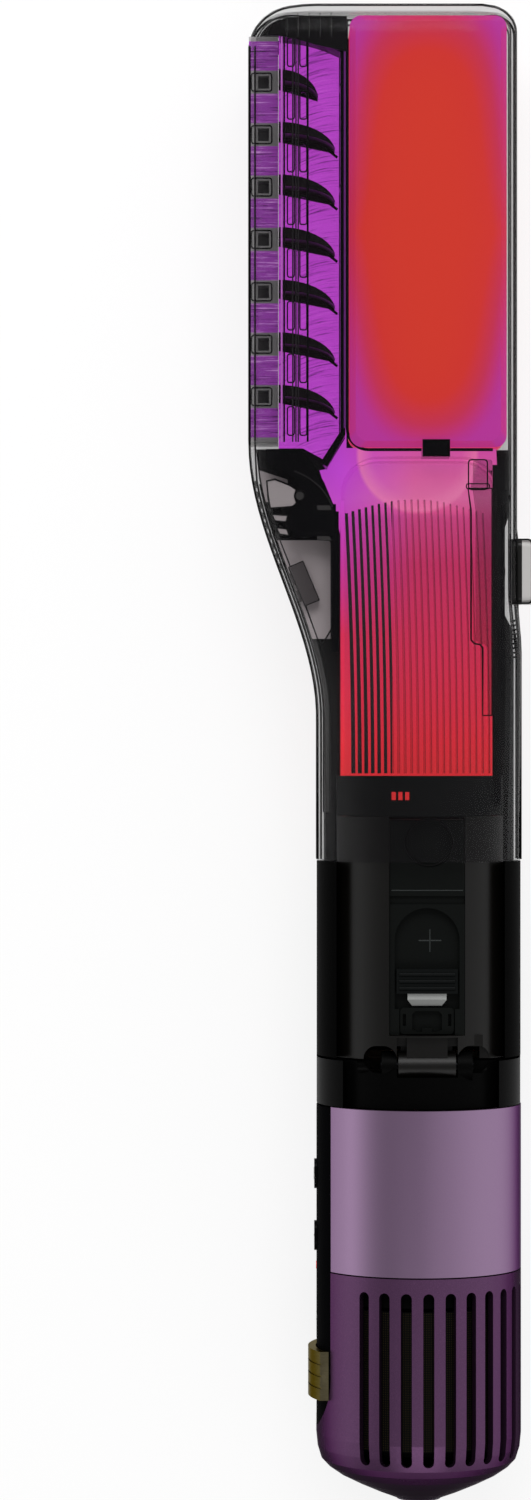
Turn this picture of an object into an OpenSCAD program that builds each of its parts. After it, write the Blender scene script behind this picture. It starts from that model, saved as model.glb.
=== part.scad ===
// Wet-to-dry hair straightener: two arms with heated plates on a fan handle.
// The device lies closed on its back. +Y runs from the base to the head, +X is the
// side with the press button, and the front arm opens toward +Z.
// Inside the modules Y = 0 is the bottom of the base, X = 0 the handle's axis and
// Z = 0 the plane where the two arms meet. set_down() moves that onto the table.

/* [Overall] */
// Length from the nose of the base to the top of the head
overall_len = 327; // [318:0.5:345]
// Radius of the base and of its metal band
base_r = 22.5; // [22.5:0.1:24]
// Radius of the black grip
grip_r = 22.4; // [22.3:0.1:22.9]
// Gap between the rims of the closed arms
rim_gap = 0.3; // [0.2:0.05:0.5]
// Clearance between pieces that are fitted together
fit_gap = 0.15; // [0.1:0.01:0.25]

/* [Head] */
// Reach of the head to the vent side, from the handle's axis
head_left = 37.3; // [36.5:0.1:42]
// Reach of the head to the button side
head_right = 21.4; // [21.2:0.1:22.4]
// Depth of the front arm at the head
front_depth = 16.5; // [16:0.1:19]
// Depth of the rear arm at the head
rear_depth = 22.5; // [21:0.1:24]
// Corner radius at the top on the vent side
corner_left_r = 9; // [6:0.5:10]
// Corner radius at the top on the button side
corner_right_r = 5; // [4:0.5:6]
// Rounding of the long outer edges at the top end
edge_r = 7.5; // [5:0.5:8]
// Squareness of the head's section, 2 is round
head_square = 4.2; // [3.5:0.1:5]
// Wall of the clear covers
cover_wall = 1.4; // [1.2:0.1:1.6]
// Distance from the top of the head down to the start of the casing's swelling
sweep_from = 155; // [151:1:159]
// Distance from the top of the head down to the end of that swelling
sweep_to = 95; // [91:1:99]

/* [Plates] */
// Width of a plate
plate_w = 34.3; // [33:0.1:34.6]
// Length of a plate
plate_len = 94.3; // [88:0.1:96]
// Thickness of a plate
plate_t = 8; // [6.5:0.1:8.5]
// Corner radius of a plate
plate_corner_r = 2.6; // [1.5:0.1:4]
// Bevel round the plate's back
plate_bevel = 1.3; // [0.6:0.1:2]
// Distance from the plate's top edge to the top of the head
plate_margin = 2; // [1.9:0.1:3]
// Travel of the floating plate
plate_float = 1; // [0.5:0.1:1.2]
// Width of the ceramic heater in each plate
heater_w = 24; // [18:0.5:28]
// Thickness of that heater
heater_t = 1.4; // [1:0.1:2]

/* [Air outlet] */
// Number of outlet windows
window_count = 8; // [6:1:8]
// Distance from one window to the next
window_pitch = 11.44; // [10.5:0.02:11.5]
// Length of a window
window_len = 6.4; // [5:0.1:7]
// Height of a window
window_h = 5; // [4.2:0.1:5.2]
// Depth of the outlet nozzles
nozzle_depth = 6.4; // [5:0.1:7]
// Height of the grille that holds the windows
grille_h = 6.9; // [6.7:0.1:7.5]
// Distance from a turning vane's tip to the divider
vane_gap = 1; // [0.6:0.1:4]
// Drop of a turning vane's tip
vane_drop = 5.8; // [4:0.1:6.5]
// Thickness of a vane at its blunt end
vane_root = 2.4; // [1.6:0.1:2.8]
// Depth of the air channel
channel_depth = 10.2; // [9:0.1:10.4]
// Wall of the channel and of the duct
duct_wall = 0.9; // [0.7:0.05:1.1]

/* [Duct] */
// Width of the handle's duct
duct_w = 34.5; // [33:0.1:34.9]
// Height where the duct starts, inside its collar
duct_start = 151.5; // [151:0.1:152]
// Depth of the duct at its crown
duct_depth = 11.2; // [10:0.1:11.6]
// Rise of the duct's crown over its shoulders
duct_crown = 4.5; // [3.5:0.1:5]
// Radius of the duct's upper corners
duct_corner_r = 8; // [5:0.5:9]
// Number of guide fins
fin_count = 22; // [16:1:24]
// Height of a guide fin
fin_h = 4.4; // [3:0.1:4.8]
// Lean of the fins toward the vent side
fin_lean = 1.4; // [0.5:0.1:1.4]
// Thickness of the thinnest fin
fin_thin = 0.35; // [0.3:0.05:0.45]

/* [Grip and lock] */
// Height of the grip's upper end
grip_top = 140.4; // [138:0.2:142]
// Height of the front arm's lower end
arm_end = 97.8; // [97.6:0.1:98.4]
// Radius of the black inner housing
housing_r = 20; // [19.8:0.1:20.6]
// Half width of that housing
housing_half_w = 18.1; // [18:0.05:18.4]
// Wall of that housing
housing_wall = 1.8; // [1.4:0.1:2]
// Sideways place of the lock and hinge
lock_x = 1.2; // [0:0.1:1.5]
// Width of the lock's tray
tray_w = 16.2; // [15.6:0.1:17]
// Width of the thumb pad
pad_w = 13.2; // [11:0.1:13.4]
// Length of the thumb pad
pad_len = 5.3; // [4.5:0.1:6]
// Travel of the lock
lock_travel = 5; // [3:0.1:6]

/* [Hinge] */
// Height of the hinge axis along the handle
hinge_y = 96.2; // [95.8:0.1:96.4]
// Height of the hinge axis over the closing plane
hinge_z = 15.5; // [15:0.1:15.6]
// Radius of the hinge pin
pin_r = 1.5; // [1.2:0.05:1.7]
// Radius of the hinge barrel
barrel_r = 3.3; // [2.9:0.1:3.4]
// Length of the hinge barrel
barrel_len = 12.8; // [11:0.1:13]
// Thickness of a hinge ear
ear_t = 3.2; // [2.4:0.1:3.4]
// Radial running clearance of the hinge
hinge_play = 0.04; // [0.02:0.01:0.08]

/* [Base] */
// Height of the band's lower edge
band_low = 51.2; // [50:0.1:52]
// Height of the band's upper edge
band_top = 87; // [86.5:0.1:87.4]
// Wall of the metal band
band_wall = 1.5; // [1.2:0.05:1.6]
// Wall of the inlet cage
cage_wall = 1.6; // [1.4:0.05:1.7]
// Number of inlet slots
slot_count = 21; // [17:1:21]
// Angle from one slot to the next
slot_step = 12.35; // [11.8:0.05:12.35]
// Width of an inlet slot
slot_w = 2.4; // [1.8:0.1:2.8]
// Lower end of the slots
slot_low = 10.3; // [9.5:0.1:14]
// Upper end of the slots
slot_high = 47.8; // [44:0.1:48]
// Radius of the cord inlet
cord_r = 3.4; // [2.8:0.1:3.8]
// Radius of the gland's nose
gland_r = 5.2; // [4.8:0.1:5.6]

/* [Controls] */
// Half width of the glossy control strip
strip_half_w = 11; // [10.5:0.1:11.4]
// Lower end of the control strip
strip_low = 16.5; // [16:0.1:17]
// Height of the power slider's middle
slider_y = 28.4; // [27.6:0.1:29]
// Length of the power slider
slider_len = 10.6; // [9:0.1:12]
// Thickness of the power slider
slider_t = 1.65; // [1.2:0.05:1.8]
// Travel of the power slider to each side
slider_travel = 4; // [3:0.1:4.2]
// Height of the upper temperature button
temp_up_y = 71.5; // [70:0.1:74]
// Height of the lower temperature button
temp_down_y = 57.9; // [57.6:0.1:60]
// Length of a temperature button
temp_len = 6.6; // [5:0.1:7]
// Width of a temperature button
temp_w = 4.2; // [3.4:0.1:4.6]
// Travel of a temperature button
temp_travel = 0.5; // [0.3:0.05:0.5]
// Distance from the top of the head down to the side button's middle
side_from = 123.4; // [121:0.1:125]
// Length of the side button
side_len = 14.3; // [12:0.1:15]
// Reach of the side button from the handle's axis
side_reach = 24.75; // [24:0.05:25.5]
// Travel of the side button
side_travel = 1; // [0.5:0.1:1]

/* [Fan] */
// Radius of the motor can
can_r = 16.2; // [15.6:0.1:16.4]
// Radius of the impeller
impeller_r = 14.7; // [13.6:0.1:14.7]
// Number of impeller blades
blade_count = 9; // [7:1:11]
// Number of diffuser vanes
diffuser_count = 11; // [9:1:13]
// Radius of the motor's shaft
shaft_r = 1.5; // [1.2:0.05:1.6]

/* [Hidden] */
$fn = 96;

// Places that several pieces share.
half_gap = rim_gap / 2;
panel_t = 1.4;
channel_z = half_gap + panel_t + fit_gap;
channel_top = channel_z + channel_depth;
plate_x = head_right - cover_wall - 1 - plate_w / 2;
plate_top = overall_len - plate_margin;
sweep_start = overall_len - sweep_from;
sweep_end = overall_len - sweep_to;
side_y = overall_len - side_from;
plate_low = plate_top - plate_len;
plate_left = plate_x - plate_w / 2;
divider_t = 1.1;
divider_x = plate_left - 1 - divider_t;
grille_left = -head_left;
grille_right = grille_left + nozzle_depth;
channel_left = grille_right + fit_gap;
channel_right = divider_x - fit_gap;
vane_reach = channel_right - channel_left - vane_gap;
window_top_y = overall_len - 10.9;
window_bottom_y = window_top_y - (window_count - 1) * window_pitch;
grille_high = window_top_y + window_len / 2 + 1;
grille_low = window_bottom_y - window_len / 2 - 1;
window_z = half_gap + 0.95;
duct_x = 0;
duct_end = plate_low - 2.4;
divider_low = plate_low + 3;
divider_len = grille_high + 1 - divider_low;
duct_top_z = channel_z + duct_depth;
duct_arc_r = (pow(duct_w / 2, 2) + pow(duct_crown, 2)) / (2 * duct_crown);
button_low = side_y - side_len / 2 - 0.5;
button_high = side_y + side_len / 2 + 0.5;
button_h = 6.4;
button_z = half_gap + 0.45;
button_notch = button_z + button_h + 0.4;
bracket_x = duct_x + duct_w / 2 + 0.25;
bracket_t = 0.6;
switch_t = 0.7;
button_inner = bracket_x + bracket_t + switch_t + side_travel + 0.35;
strip_back = sqrt(pow(base_r, 2) - pow(strip_half_w, 2));
frame_r = base_r - band_wall - 0.3;
frame_bore = 18.4;
frame_leg_r = 18.9;
frame_flat = strip_back - 0.2;
cage_top = band_low - 0.3;
motor_low = 48;
motor_high = 84;
filter_low = 13.4;
filter_high = 43.6;
heater_low = motor_high + 0.3;
heater_high = 98;
mount_low = 56;
mount_high = 74;
mount_len = 4;
can_wall = 1;
hub_r = 13.9;
stator_r = 13;
rotor_r = 6;
stator_low = 60;
stator_high = 76;
bearing_r = 4;
bearing_t = 2.4;
bearing_low = 56.9;
bearing_high = 77.2;
impeller_low = motor_low + 2.2;
impeller_high = bearing_low - 0.5;
slider_stem_len = 5.6;
pocket_x = base_r - 1.2;
lens_y = band_low + 0.2;
pocket_low = lens_y - 3.4;
pocket_high = temp_up_y + temp_len / 2 + 6.2;
ear_inner = barrel_len / 2 + 0.2;
ear_outer = ear_inner + ear_t;
neck_top = arm_end - 0.5;
neck_r = housing_r + 0.1;
neck_step = 16.9;
neck_bore = 17;
neck_lean = 22;
recess_x = ear_inner + 3.5;
recess_z = 13;
screw_x = 18.2;
screw_z = 8;
screw_r = 1.05;
screw_seat = neck_top - 3.7;
collar_low = 150.3;
collar_high = 159;
collar_half_w = duct_w / 2 + 0.85;
tray_low = 103;
tray_high = collar_low - 0.7;
tray_top_z = 17.8;
tray_floor_z = 15.9;
tray_under_z = 14.4;
pad_y = 114.7;
pad_low = pad_y - pad_len / 2;
pad_high = pad_y + pad_len / 2;
well_w = pad_w + 0.8;
well_low = pad_low - 3.35;
well_high = pad_high + lock_travel + 1.15 + well_w / 2;
clip_w = 11.6;
lever_z = 12;
board_low = duct_start + 8.5;
board_high = duct_end - 12.3;
board_len = board_high - board_low;
narrow_start = side_y - 17.6;
narrow_end = side_y - 3.6;
bracket_low = collar_high + 0.381 * (side_y - collar_high);
bracket_high = duct_end - 6.3;
leg_x = duct_x - duct_w / 2 - 0.45;
post_x = leg_x - 7.2;
post_y = grille_low - 16.22;
wedge_high = post_y - 5;
wedge_low = wedge_high - 21.6;
left_grille_notch = [grille_low - 0.9, grille_high + 1.4, half_gap + grille_h + 0.25];
right_button_notch = [button_low - 0.6, button_high + 0.6, button_notch];
no_notch = [0, 0, 0];

// Even rise from 0 to 1 between two places.
function smooth(t) = let (u = min(1, max(0, t))) u * u * (3 - 2 * u);
function ease(y, low, high) = smooth((y - low) / (high - low));

// How far a corner of radius r has turned in at height y, for a skin inset from it.
function corner_turn(y, r, inset) =
    let (past = y - (overall_len - r), q = r - inset)
    past <= 0 ? 0 : q - sqrt(max(0, q * q - past * past));

// Outline of the closed device, seen from the front.
function left_edge(y, inset = 0) =
    -grip_r - (head_left - grip_r) * ease(y, sweep_start, sweep_end)
    + inset + corner_turn(y, corner_left_r, inset);
function right_edge(y, inset = 0) =
    grip_r - (grip_r - head_right) * ease(y, narrow_start, narrow_end)
    - inset - corner_turn(y, corner_right_r, inset);

// Depth and squareness of an arm's section.
function arm_depth(y, head_depth, inset = 0) =
    grip_r + (head_depth - grip_r) * ease(y, grip_top, sweep_end)
    - inset - corner_turn(y, edge_r, inset);
function arm_square(y) = 2 + (head_square - 2) * ease(y, grip_top, sweep_end);
function arm_swell(y) = 0.8 * ease(y, grip_top, sweep_end);

// One row of points across an arm, from the left rim over the back to the right rim.
function arm_row(y, y_true, head_depth, inset, left_lift, right_lift, steps) =
    let (
        xl = left_edge(y_true, inset),
        xr = right_edge(y_true, inset),
        mid = (xl + xr) / 2,
        half = (xr - xl) / 2,
        flat = arm_depth(y_true, head_depth, inset),
        deep = flat + arm_swell(y),
        power = arm_square(y),
        from = asin(pow(left_lift / deep, power / 2)),
        to = asin(pow(right_lift / deep, power / 2))
    )
    [for (j = [0 : steps])
        let (
            angle = 180 - from + (from + to - 180) * j / steps,
            side = sign(cos(angle))
        )
        [
            mid + half * side * pow(abs(cos(angle)), 2 / power),
            y_true,
            min(flat, deep * pow(abs(sin(angle)), 2 / power))
        ]
    ];

// A list in rising order, with near doubles left out.
function sorted(list) = len(list) <= 1 ? list :
    let (
        pivot = list[floor(len(list) / 2)],
        below = [for (v = list) if (v < pivot - 0.35) v],
        above = [for (v = list) if (v > pivot + 0.35) v]
    )
    concat(sorted(below), [pivot], sorted(above));

// Height of the rim: it steps up over a notch between two places.
function notch_lift(y, low, high, lift) =
    half_gap + (lift - half_gap) * min(1, max(0, min(y - low, high - y) / 0.6));

// Clear half shell of an arm, closed at the top and open at the closing plane.
module arm_shell(head_depth, left_notch, right_notch) {
    steps = 22;
    turn = max(corner_left_r, corner_right_r, edge_r);
    turn_low = overall_len - turn;
    marks = [for (n = [left_notch, right_notch]) if (n[2] > 0)
        each [n[0], n[0] + 0.6, n[1] - 0.6, n[1]]];
    spans = [for (k = [0 : 5]) grip_top + (sweep_start - grip_top) * k / 6];
    swell = [for (k = [0 : 10]) sweep_start + (sweep_end - sweep_start) * k / 10];
    plain = [for (y = sorted(concat(spans, swell, marks, [turn_low]))) if (y >= grip_top && y <= turn_low) y];
    mark_turns = [for (y = marks) if (y > turn_low) asin((y - turn_low) / turn)];
    cap_turns = sorted(concat([15, 30, 45, 60, 72, 82, 90], mark_turns));
    straight = len(plain);
    rows = straight + len(cap_turns);
    function row_y(k, inset) = k < straight ? plain[k]
        : turn_low + (turn - inset) * sin(cap_turns[k - straight]);
    function row(k, inset) =
        let (y = row_y(k, 0))
        arm_row(y, row_y(k, inset), head_depth, inset,
            left_notch[2] > 0 ? notch_lift(y, left_notch[0], left_notch[1], left_notch[2]) : half_gap,
            right_notch[2] > 0 ? notch_lift(y, right_notch[0], right_notch[1], right_notch[2]) : half_gap,
            steps);
    points = [
        for (k = [0 : rows - 1]) each row(k, 0),
        for (k = [0 : rows - 1]) each row(k, cover_wall)
    ];
    wide = steps + 1;
    function outer(k, j) = k * wide + j;
    function inner(k, j) = (rows + k) * wide + j;
    last = rows - 1;
    faces = [
        for (k = [0 : last - 1], j = [0 : steps - 1]) each [
            [outer(k, j), outer(k + 1, j), outer(k + 1, j + 1)],
            [outer(k, j), outer(k + 1, j + 1), outer(k, j + 1)],
            [inner(k, j), inner(k, j + 1), inner(k + 1, j + 1)],
            [inner(k, j), inner(k + 1, j + 1), inner(k + 1, j)]
        ],
        for (j = [0 : steps - 1]) each [
            [outer(0, j), outer(0, j + 1), inner(0, j + 1)],
            [outer(0, j), inner(0, j + 1), inner(0, j)]
        ],
        for (k = [0 : last - 1]) each [
            [outer(k, 0), inner(k, 0), inner(k + 1, 0)],
            [outer(k, 0), inner(k + 1, 0), outer(k + 1, 0)],
            [inner(k, steps), outer(k, steps), outer(k + 1, steps)],
            [inner(k, steps), outer(k + 1, steps), inner(k + 1, steps)]
        ],
        [inner(last, 0), inner(last, steps), outer(last, steps), outer(last, 0)],
        [for (j = [0 : steps]) outer(last, steps - j)],
        [for (j = [0 : steps]) inner(last, j)]
    ];
    polyhedron(points, faces, convexity = 6);
}

// Extrusions between two places along each axis.
module along_z(low, high) {
    translate([0, 0, low]) linear_extrude(high - low) children();
}
module along_y(low, high) {
    translate([0, high, 0]) rotate([90, 0, 0]) linear_extrude(high - low) children();
}
module along_x(low, high) {
    translate([low, 0, 0]) rotate([90, 0, 90]) linear_extrude(high - low) children();
}
module rod_y(r, low, high) {
    translate([0, high, 0]) rotate([90, 0, 0]) cylinder(r = r, h = high - low);
}
module rod_x(r, low, high) {
    translate([low, 0, 0]) rotate([0, 90, 0]) cylinder(r = r, h = high - low);
}
// Turned shape round the handle's axis, from a profile of radius and height.
module turned() {
    rotate([-90, 0, 0]) rotate_extrude() children();
}
module ring_y(outer_r, inner_r, low, high) {
    turned() translate([inner_r, low]) square([outer_r - inner_r, high - low]);
}
module block(x0, x1, y0, y1, z0, z1) {
    translate([x0, y0, z0]) cube([x1 - x0, y1 - y0, z1 - z0]);
}
module rounded(w, h, r) {
    union() {
        square([w - 2 * r, h], center = true);
        square([w, h - 2 * r], center = true);
        for (sx = [-1, 1], sy = [-1, 1])
            translate([sx * (w / 2 - r), sy * (h / 2 - r)]) circle(r);
    }
}

// Bar with round ends, lying along the first axis.
module pill(len, w) {
    reach = (len - w) / 2;
    polygon([
        for (a = [-90 : 15 : 90]) [reach + w / 2 * cos(a), w / 2 * sin(a)],
        for (a = [90 : 15 : 270]) [-reach + w / 2 * cos(a), w / 2 * sin(a)]
    ]);
}

// Moves the device from its own axes onto the table, centred on its footprint.
module set_down() {
    translate([(head_left - side_reach) / 2, -overall_len / 2, max(rear_depth, base_r)]) children();
}
module rear_side() {
    mirror([0, 0, 1]) children();
}

// Base and fan unit

module band_sleeve() set_down() color("#9a829c") {
    difference() {
        ring_y(base_r, base_r - band_wall, band_low, band_top);
        block(-base_r - 1, -strip_back + fit_gap, band_low - 1, band_top + 1,
            -base_r, base_r);
    }
}

// Half profile of the cage: a straight wall that rounds in to the nose.
module cage_profile(inset) {
    nose_r = gland_r + 0.2;
    polygon([
        [nose_r, 0.6 + inset],
        [9 - 0.3 * inset, 2 + inset],
        [13.5 - 0.4 * inset, 4 + 0.9 * inset],
        [17.3 - 0.5 * inset, 5.9 + 0.85 * inset],
        [19.9 - 0.7 * inset, 7.7 + 0.7 * inset],
        [21.4 - 0.9 * inset, 9.3 + 0.45 * inset],
        [22.2 - 0.98 * inset, 11.9 + 0.2 * inset],
        [base_r - inset, 15],
        [base_r - inset, cage_top + inset],
        [nose_r, cage_top + inset]
    ]);
}
module strip_outline(grow) {
    // Stadium end of the control strip, as seen from its own side.
    half = strip_half_w + grow;
    polygon([
        for (a = [90 : 7.5 : 270]) [strip_low + strip_half_w + half * cos(a), half * sin(a)],
        [band_top + strip_low, -half],
        [band_top + strip_low, half]
    ]);
}
module inlet_cage() set_down() color("#5c4160") {
    difference() {
        turned() difference() {
            cage_profile(0);
            cage_profile(cage_wall);
        }
        along_x(-base_r - 1, 0) strip_outline(fit_gap);
        for (i = [0 : slot_count - 1])
            rotate([0, (i - (slot_count - 1) / 2) * slot_step + 90, 0])
                along_z(14, base_r + 1) inlet_slot();
    }
}
module inlet_slot() {
    translate([0, (slot_low + slot_high) / 2]) rotate(90) pill(slot_high - slot_low, slot_w);
}

module filter_sleeve() set_down() color("#3a3a40") {
    filter_r = base_r - cage_wall - 0.3;
    difference() {
        ring_y(filter_r, filter_r - 0.5, filter_low, filter_high);
        block(-base_r, -strip_back + 1, 0, filter_high + 1, -9, 9);
    }
}

module base_frame() set_down() color("#1c1c1e") {
    leg_bore = frame_leg_r - 1.2;
    difference() {
        turned() polygon([
            [gland_r + 0.3, 10.2], [17, 10.2], [frame_leg_r, 12.2], [frame_leg_r, 44],
            [frame_r - 0.4, 44.4], [frame_r - 0.4, band_low], [frame_r, band_low],
            [frame_r, band_top - 0.3],
            [frame_bore, band_top - 0.3], [frame_bore, 47.4], [leg_bore, 46.6],
            [leg_bore, 12.4], [gland_r + 0.3, 12.4]
        ]);
        for (turn = [0, 90, 180, 270])
            rotate([0, turn, 0]) block(6, 26, 14.5, 42, -8.5, 8.5);
        block(-base_r, -frame_flat, 0, 90, -base_r, base_r);
    }
}

module cord_gland() set_down() color("#2a1f2b") {
    difference() {
        turned() polygon([
            [0, 0], [gland_r - 1.2, 0], [gland_r - 0.4, 0.2], [gland_r, 0.7],
            [gland_r, 12.6], [gland_r + 1.8, 12.6], [gland_r + 1.8, 14.4], [0, 14.4]
        ]);
        rod_y(cord_r, -1, 16);
    }
}

module motor_mounts() set_down() color("#26262a") {
    for (y = [mount_low, mount_high])
        ring_y(frame_bore - 0.1, can_r + 0.05, y, y + mount_len);
}
module motor_can() set_down() color("#8d9094") {
    turned() polygon([
        [can_r - can_wall, motor_low + 1.5], [can_r - 0.4, motor_low], [can_r + 0.9, motor_low],
        [can_r, motor_low + 1.8], [can_r, motor_high], [can_r - can_wall, motor_high]
    ]);
}
module motor_stator() set_down() color("#7a5236") {
    difference() {
        ring_y(stator_r, rotor_r + 0.3, stator_low, stator_high);
        for (i = [0 : 3])
            rotate([0, 45 + 90 * i, 0])
                block(rotor_r, stator_r - 2.2, stator_low - 1, stator_high + 1, -1.6, 1.6);
    }
}
module motor_shaft() set_down() color("#b9bcc0") {
    union() {
        rod_y(shaft_r, impeller_low - 0.7, bearing_high + bearing_t + 1.9);
        rod_y(rotor_r, stator_low + 1.5, stator_high - 1.5);
    }
}
module motor_bearings() set_down() color("#c9ccd0") {
    for (y = [bearing_low, bearing_high])
        ring_y(bearing_r, shaft_r + 0.02, y, y + bearing_t);
}
module impeller() set_down() color("#d7d9dc") {
    low = impeller_low;
    high = impeller_high;
    difference() {
        union() {
            turned() polygon([[0, low], [3.4, low], [5.6, low + 2.2], [9.6, low + 5], [9.6, high], [0, high]]);
            intersection() {
                turned() polygon([
                    [2.5, low + 0.4], [9.4, low + 0.4], [impeller_r - 1.2, low + 2.2], [impeller_r, high],
                    [2.5, high]
                ]);
                union() {
                    for (i = [0 : blade_count - 1])
                        rotate([0, 360 / blade_count * i, 0])
                            translate([3, (low + high) / 2 + 0.2, 0]) rotate([38, 0, 0])
                                translate([0, -6, -0.4]) cube([impeller_r, 12, 0.8]);
                }
            }
        }
        rod_y(shaft_r + 0.01, low - 5, high + 4);
    }
}
module diffuser() set_down() color("#b4b7bb") {
    seat_r = bearing_r + 0.02;
    hub_high = bearing_high + bearing_t;
    union() {
        turned() polygon([
            [seat_r, bearing_low], [8, bearing_low], [hub_r, bearing_low + 2.7], [hub_r, hub_high],
            [seat_r, hub_high], [seat_r, bearing_high], [stator_r + 0.1, bearing_high],
            [stator_r + 0.1, stator_low - 0.2], [seat_r, bearing_low + bearing_t]
        ]);
        intersection() {
            ring_y(can_r - can_wall - 0.15, hub_r - 0.3, stator_low + 0.5, stator_high - 2);
            union() {
                for (i = [0 : diffuser_count - 1])
                    rotate([0, 360 / diffuser_count * i, 0])
                        translate([hub_r - 1, stator_low, 0]) rotate([-14, 0, 0])
                            translate([0, 0, -0.35]) cube([4, stator_high - stator_low - 1, 0.7]);
            }
        }
    }
}

module air_heater() set_down() color("#cdb98f") {
    sheet_w = 28;
    sheet_z = 8;
    wire_w = 22;
    union() {
        block(-sheet_w / 2, sheet_w / 2, heater_low, heater_high, -sheet_z - 0.5, -sheet_z + 0.5);
        block(-0.5, 0.5, heater_low, heater_high, -sheet_z - 5, -sheet_z + 5);
        for (y = [heater_low + 1.7 : 2.5 : heater_high - 1.5])
            block(-wire_w / 2, wire_w / 2, y, y + 0.6, -sheet_z - 3, -sheet_z + 3);
    }
}
module main_board() set_down() color("#1f5b3a") {
    board_z = -duct_top_z - 0.3;
    union() {
        block(-11, 11, board_low, board_high, board_z - 1.6, board_z);
        block(-8, 2, board_low + 0.1 * board_len, board_low + 0.32 * board_len, board_z - 4.4, board_z - 1.6);
        block(-7, 7, board_low + 0.43 * board_len, board_low + 0.54 * board_len, board_z - 3.6, board_z - 1.6);
        translate([5, board_high - 0.25 * board_len, board_z - 4.2]) cylinder(r = 3, h = 2.6);
    }
}

// Controls on the vent side of the base

module strip_solid() {
    intersection() {
        rod_y(base_r - 0.05, strip_low - 1, band_top - 0.2);
        along_x(-base_r - 1, -strip_back) strip_outline(0);
    }
}
module temp_hole(y, grow) {
    translate([y, 0]) pill(temp_len + 2 * grow, temp_w + 2 * grow);
}
module control_strip() set_down() color("#0c0c0f") {
    slot_len = slider_stem_len + 2 * slider_travel + 0.6;
    difference() {
        strip_solid();
        block(-pocket_x, -strip_back + 1, pocket_low, pocket_high, -5, 5);
        block(-base_r - 1, -strip_back + 1, slider_y - slot_len / 2, slider_y + slot_len / 2,
            -1.5, 1.5);
        along_x(-base_r - 1, -strip_back)
            for (y = [temp_up_y, temp_down_y]) temp_hole(y, fit_gap);
        along_x(-base_r - 1, -base_r + 0.55) translate([lens_y, 0]) circle(0.95);
    }
}
module indicator_lens() set_down() color("#d8322c") {
    along_x(-base_r - 0.05, -base_r + 0.5) translate([lens_y, 0]) circle(0.85);
}
module control_board() set_down() color("#1f5b3a") {
    board_x = strip_back + 0.1;
    union() {
        block(-board_x - 0.7, -board_x, pocket_low + 1, pocket_high - 1, -4.7, 4.7);
        for (y = [temp_up_y, temp_down_y])
            block(-pocket_x + 0.1, -board_x - 0.7, y - 1.6, y + 1.6, -1.6, 1.6);
    }
}
module temp_button(y) {
    along_x(-base_r - 0.45, -pocket_x - temp_travel - 0.02) temp_hole(y, 0);
}
module temp_up_button() set_down() color("#d9d4cf") temp_button(temp_up_y);
module temp_down_button() set_down() color("#d9d4cf") temp_button(temp_down_y);
module slide_switch() set_down() color("#5f6367") {
    union() {
        block(-strip_back + 1.1, -13.6, slider_y - 9.6, slider_y + 9.6, -4, 4);
        for (y = [-5, 0, 5])
            block(-13.6, -11.8, slider_y + y - 0.4, slider_y + y + 0.4, -2.4, 2.4);
    }
}
module power_slider() set_down() color("#8f7a45") {
    rib_r = base_r + 0.15;
    union() {
        intersection() {
            difference() {
                ring_y(rib_r + slider_t, rib_r, slider_y - slider_len / 2, slider_y + slider_len / 2);
                for (i = [-1 : 1])
                    translate([0, slider_y + i * 2.6, 0])
                        ring_y(rib_r + slider_t + 1, rib_r + slider_t - 0.25, -0.2, 0.2);
            }
            block(-base_r - 5, -15, slider_y - slider_len, slider_y + slider_len,
                -strip_half_w + 0.3, strip_half_w - 0.3);
        }
        block(-rib_r - slider_t / 2, -strip_back + 0.9, slider_y - slider_stem_len / 2,
            slider_y + slider_stem_len / 2, -1.2, 1.2);
    }
}

// Hinge

module hinge_bracket() set_down() color("#161618") {
    difference() {
        union() {
            difference() {
                intersection() {
                    union() {
                        rod_y(neck_r, band_top + 0.2, neck_top);
                        intersection() {
                            rod_y(grip_r - 0.05, band_top + 0.2, neck_top);
                            for (s = [-1, 1])
                                block(s > 0 ? neck_step : -base_r, s > 0 ? base_r : -neck_step,
                                    band_top, neck_top + 1, 0, base_r);
                        }
                    }
                    block(-base_r, base_r, band_top, neck_top + 1, half_gap + 0.15, base_r);
                }
                rod_y(neck_bore, band_top - 1, neck_top + 1);
                translate([0, neck_top, hinge_z]) rotate([neck_lean, 0, 0])
                    block(-base_r, base_r, 0, 10, -1, 20);
                hinge_recesses();
            }
            for (s = [-1, 1])
                translate([lock_x + s * (ear_inner + ear_outer) / 2, 0, 0]) {
                    translate([0, hinge_y, hinge_z]) rod_x(barrel_r, -ear_t / 2, ear_t / 2);
                    block(-ear_t / 2, ear_t / 2, band_top + 1, hinge_y, hinge_z - barrel_r, hinge_z);
                }
        }
        translate([lock_x, hinge_y, hinge_z]) {
            rod_x(pin_r + 0.01, -15, 15);
            rod_x(barrel_r + 0.5, -ear_inner, ear_inner);
            block(-ear_inner, ear_inner, -2.2, 6, 0, 10);
        }
        for (s = [-1, 1])
            translate([s * screw_x, 0, screw_z]) {
                rod_y(screw_r + 0.05, screw_seat - 5.2, neck_top + 1);
                rod_y(2.2, screw_seat, neck_top + 2);
            }
    }
}
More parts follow.
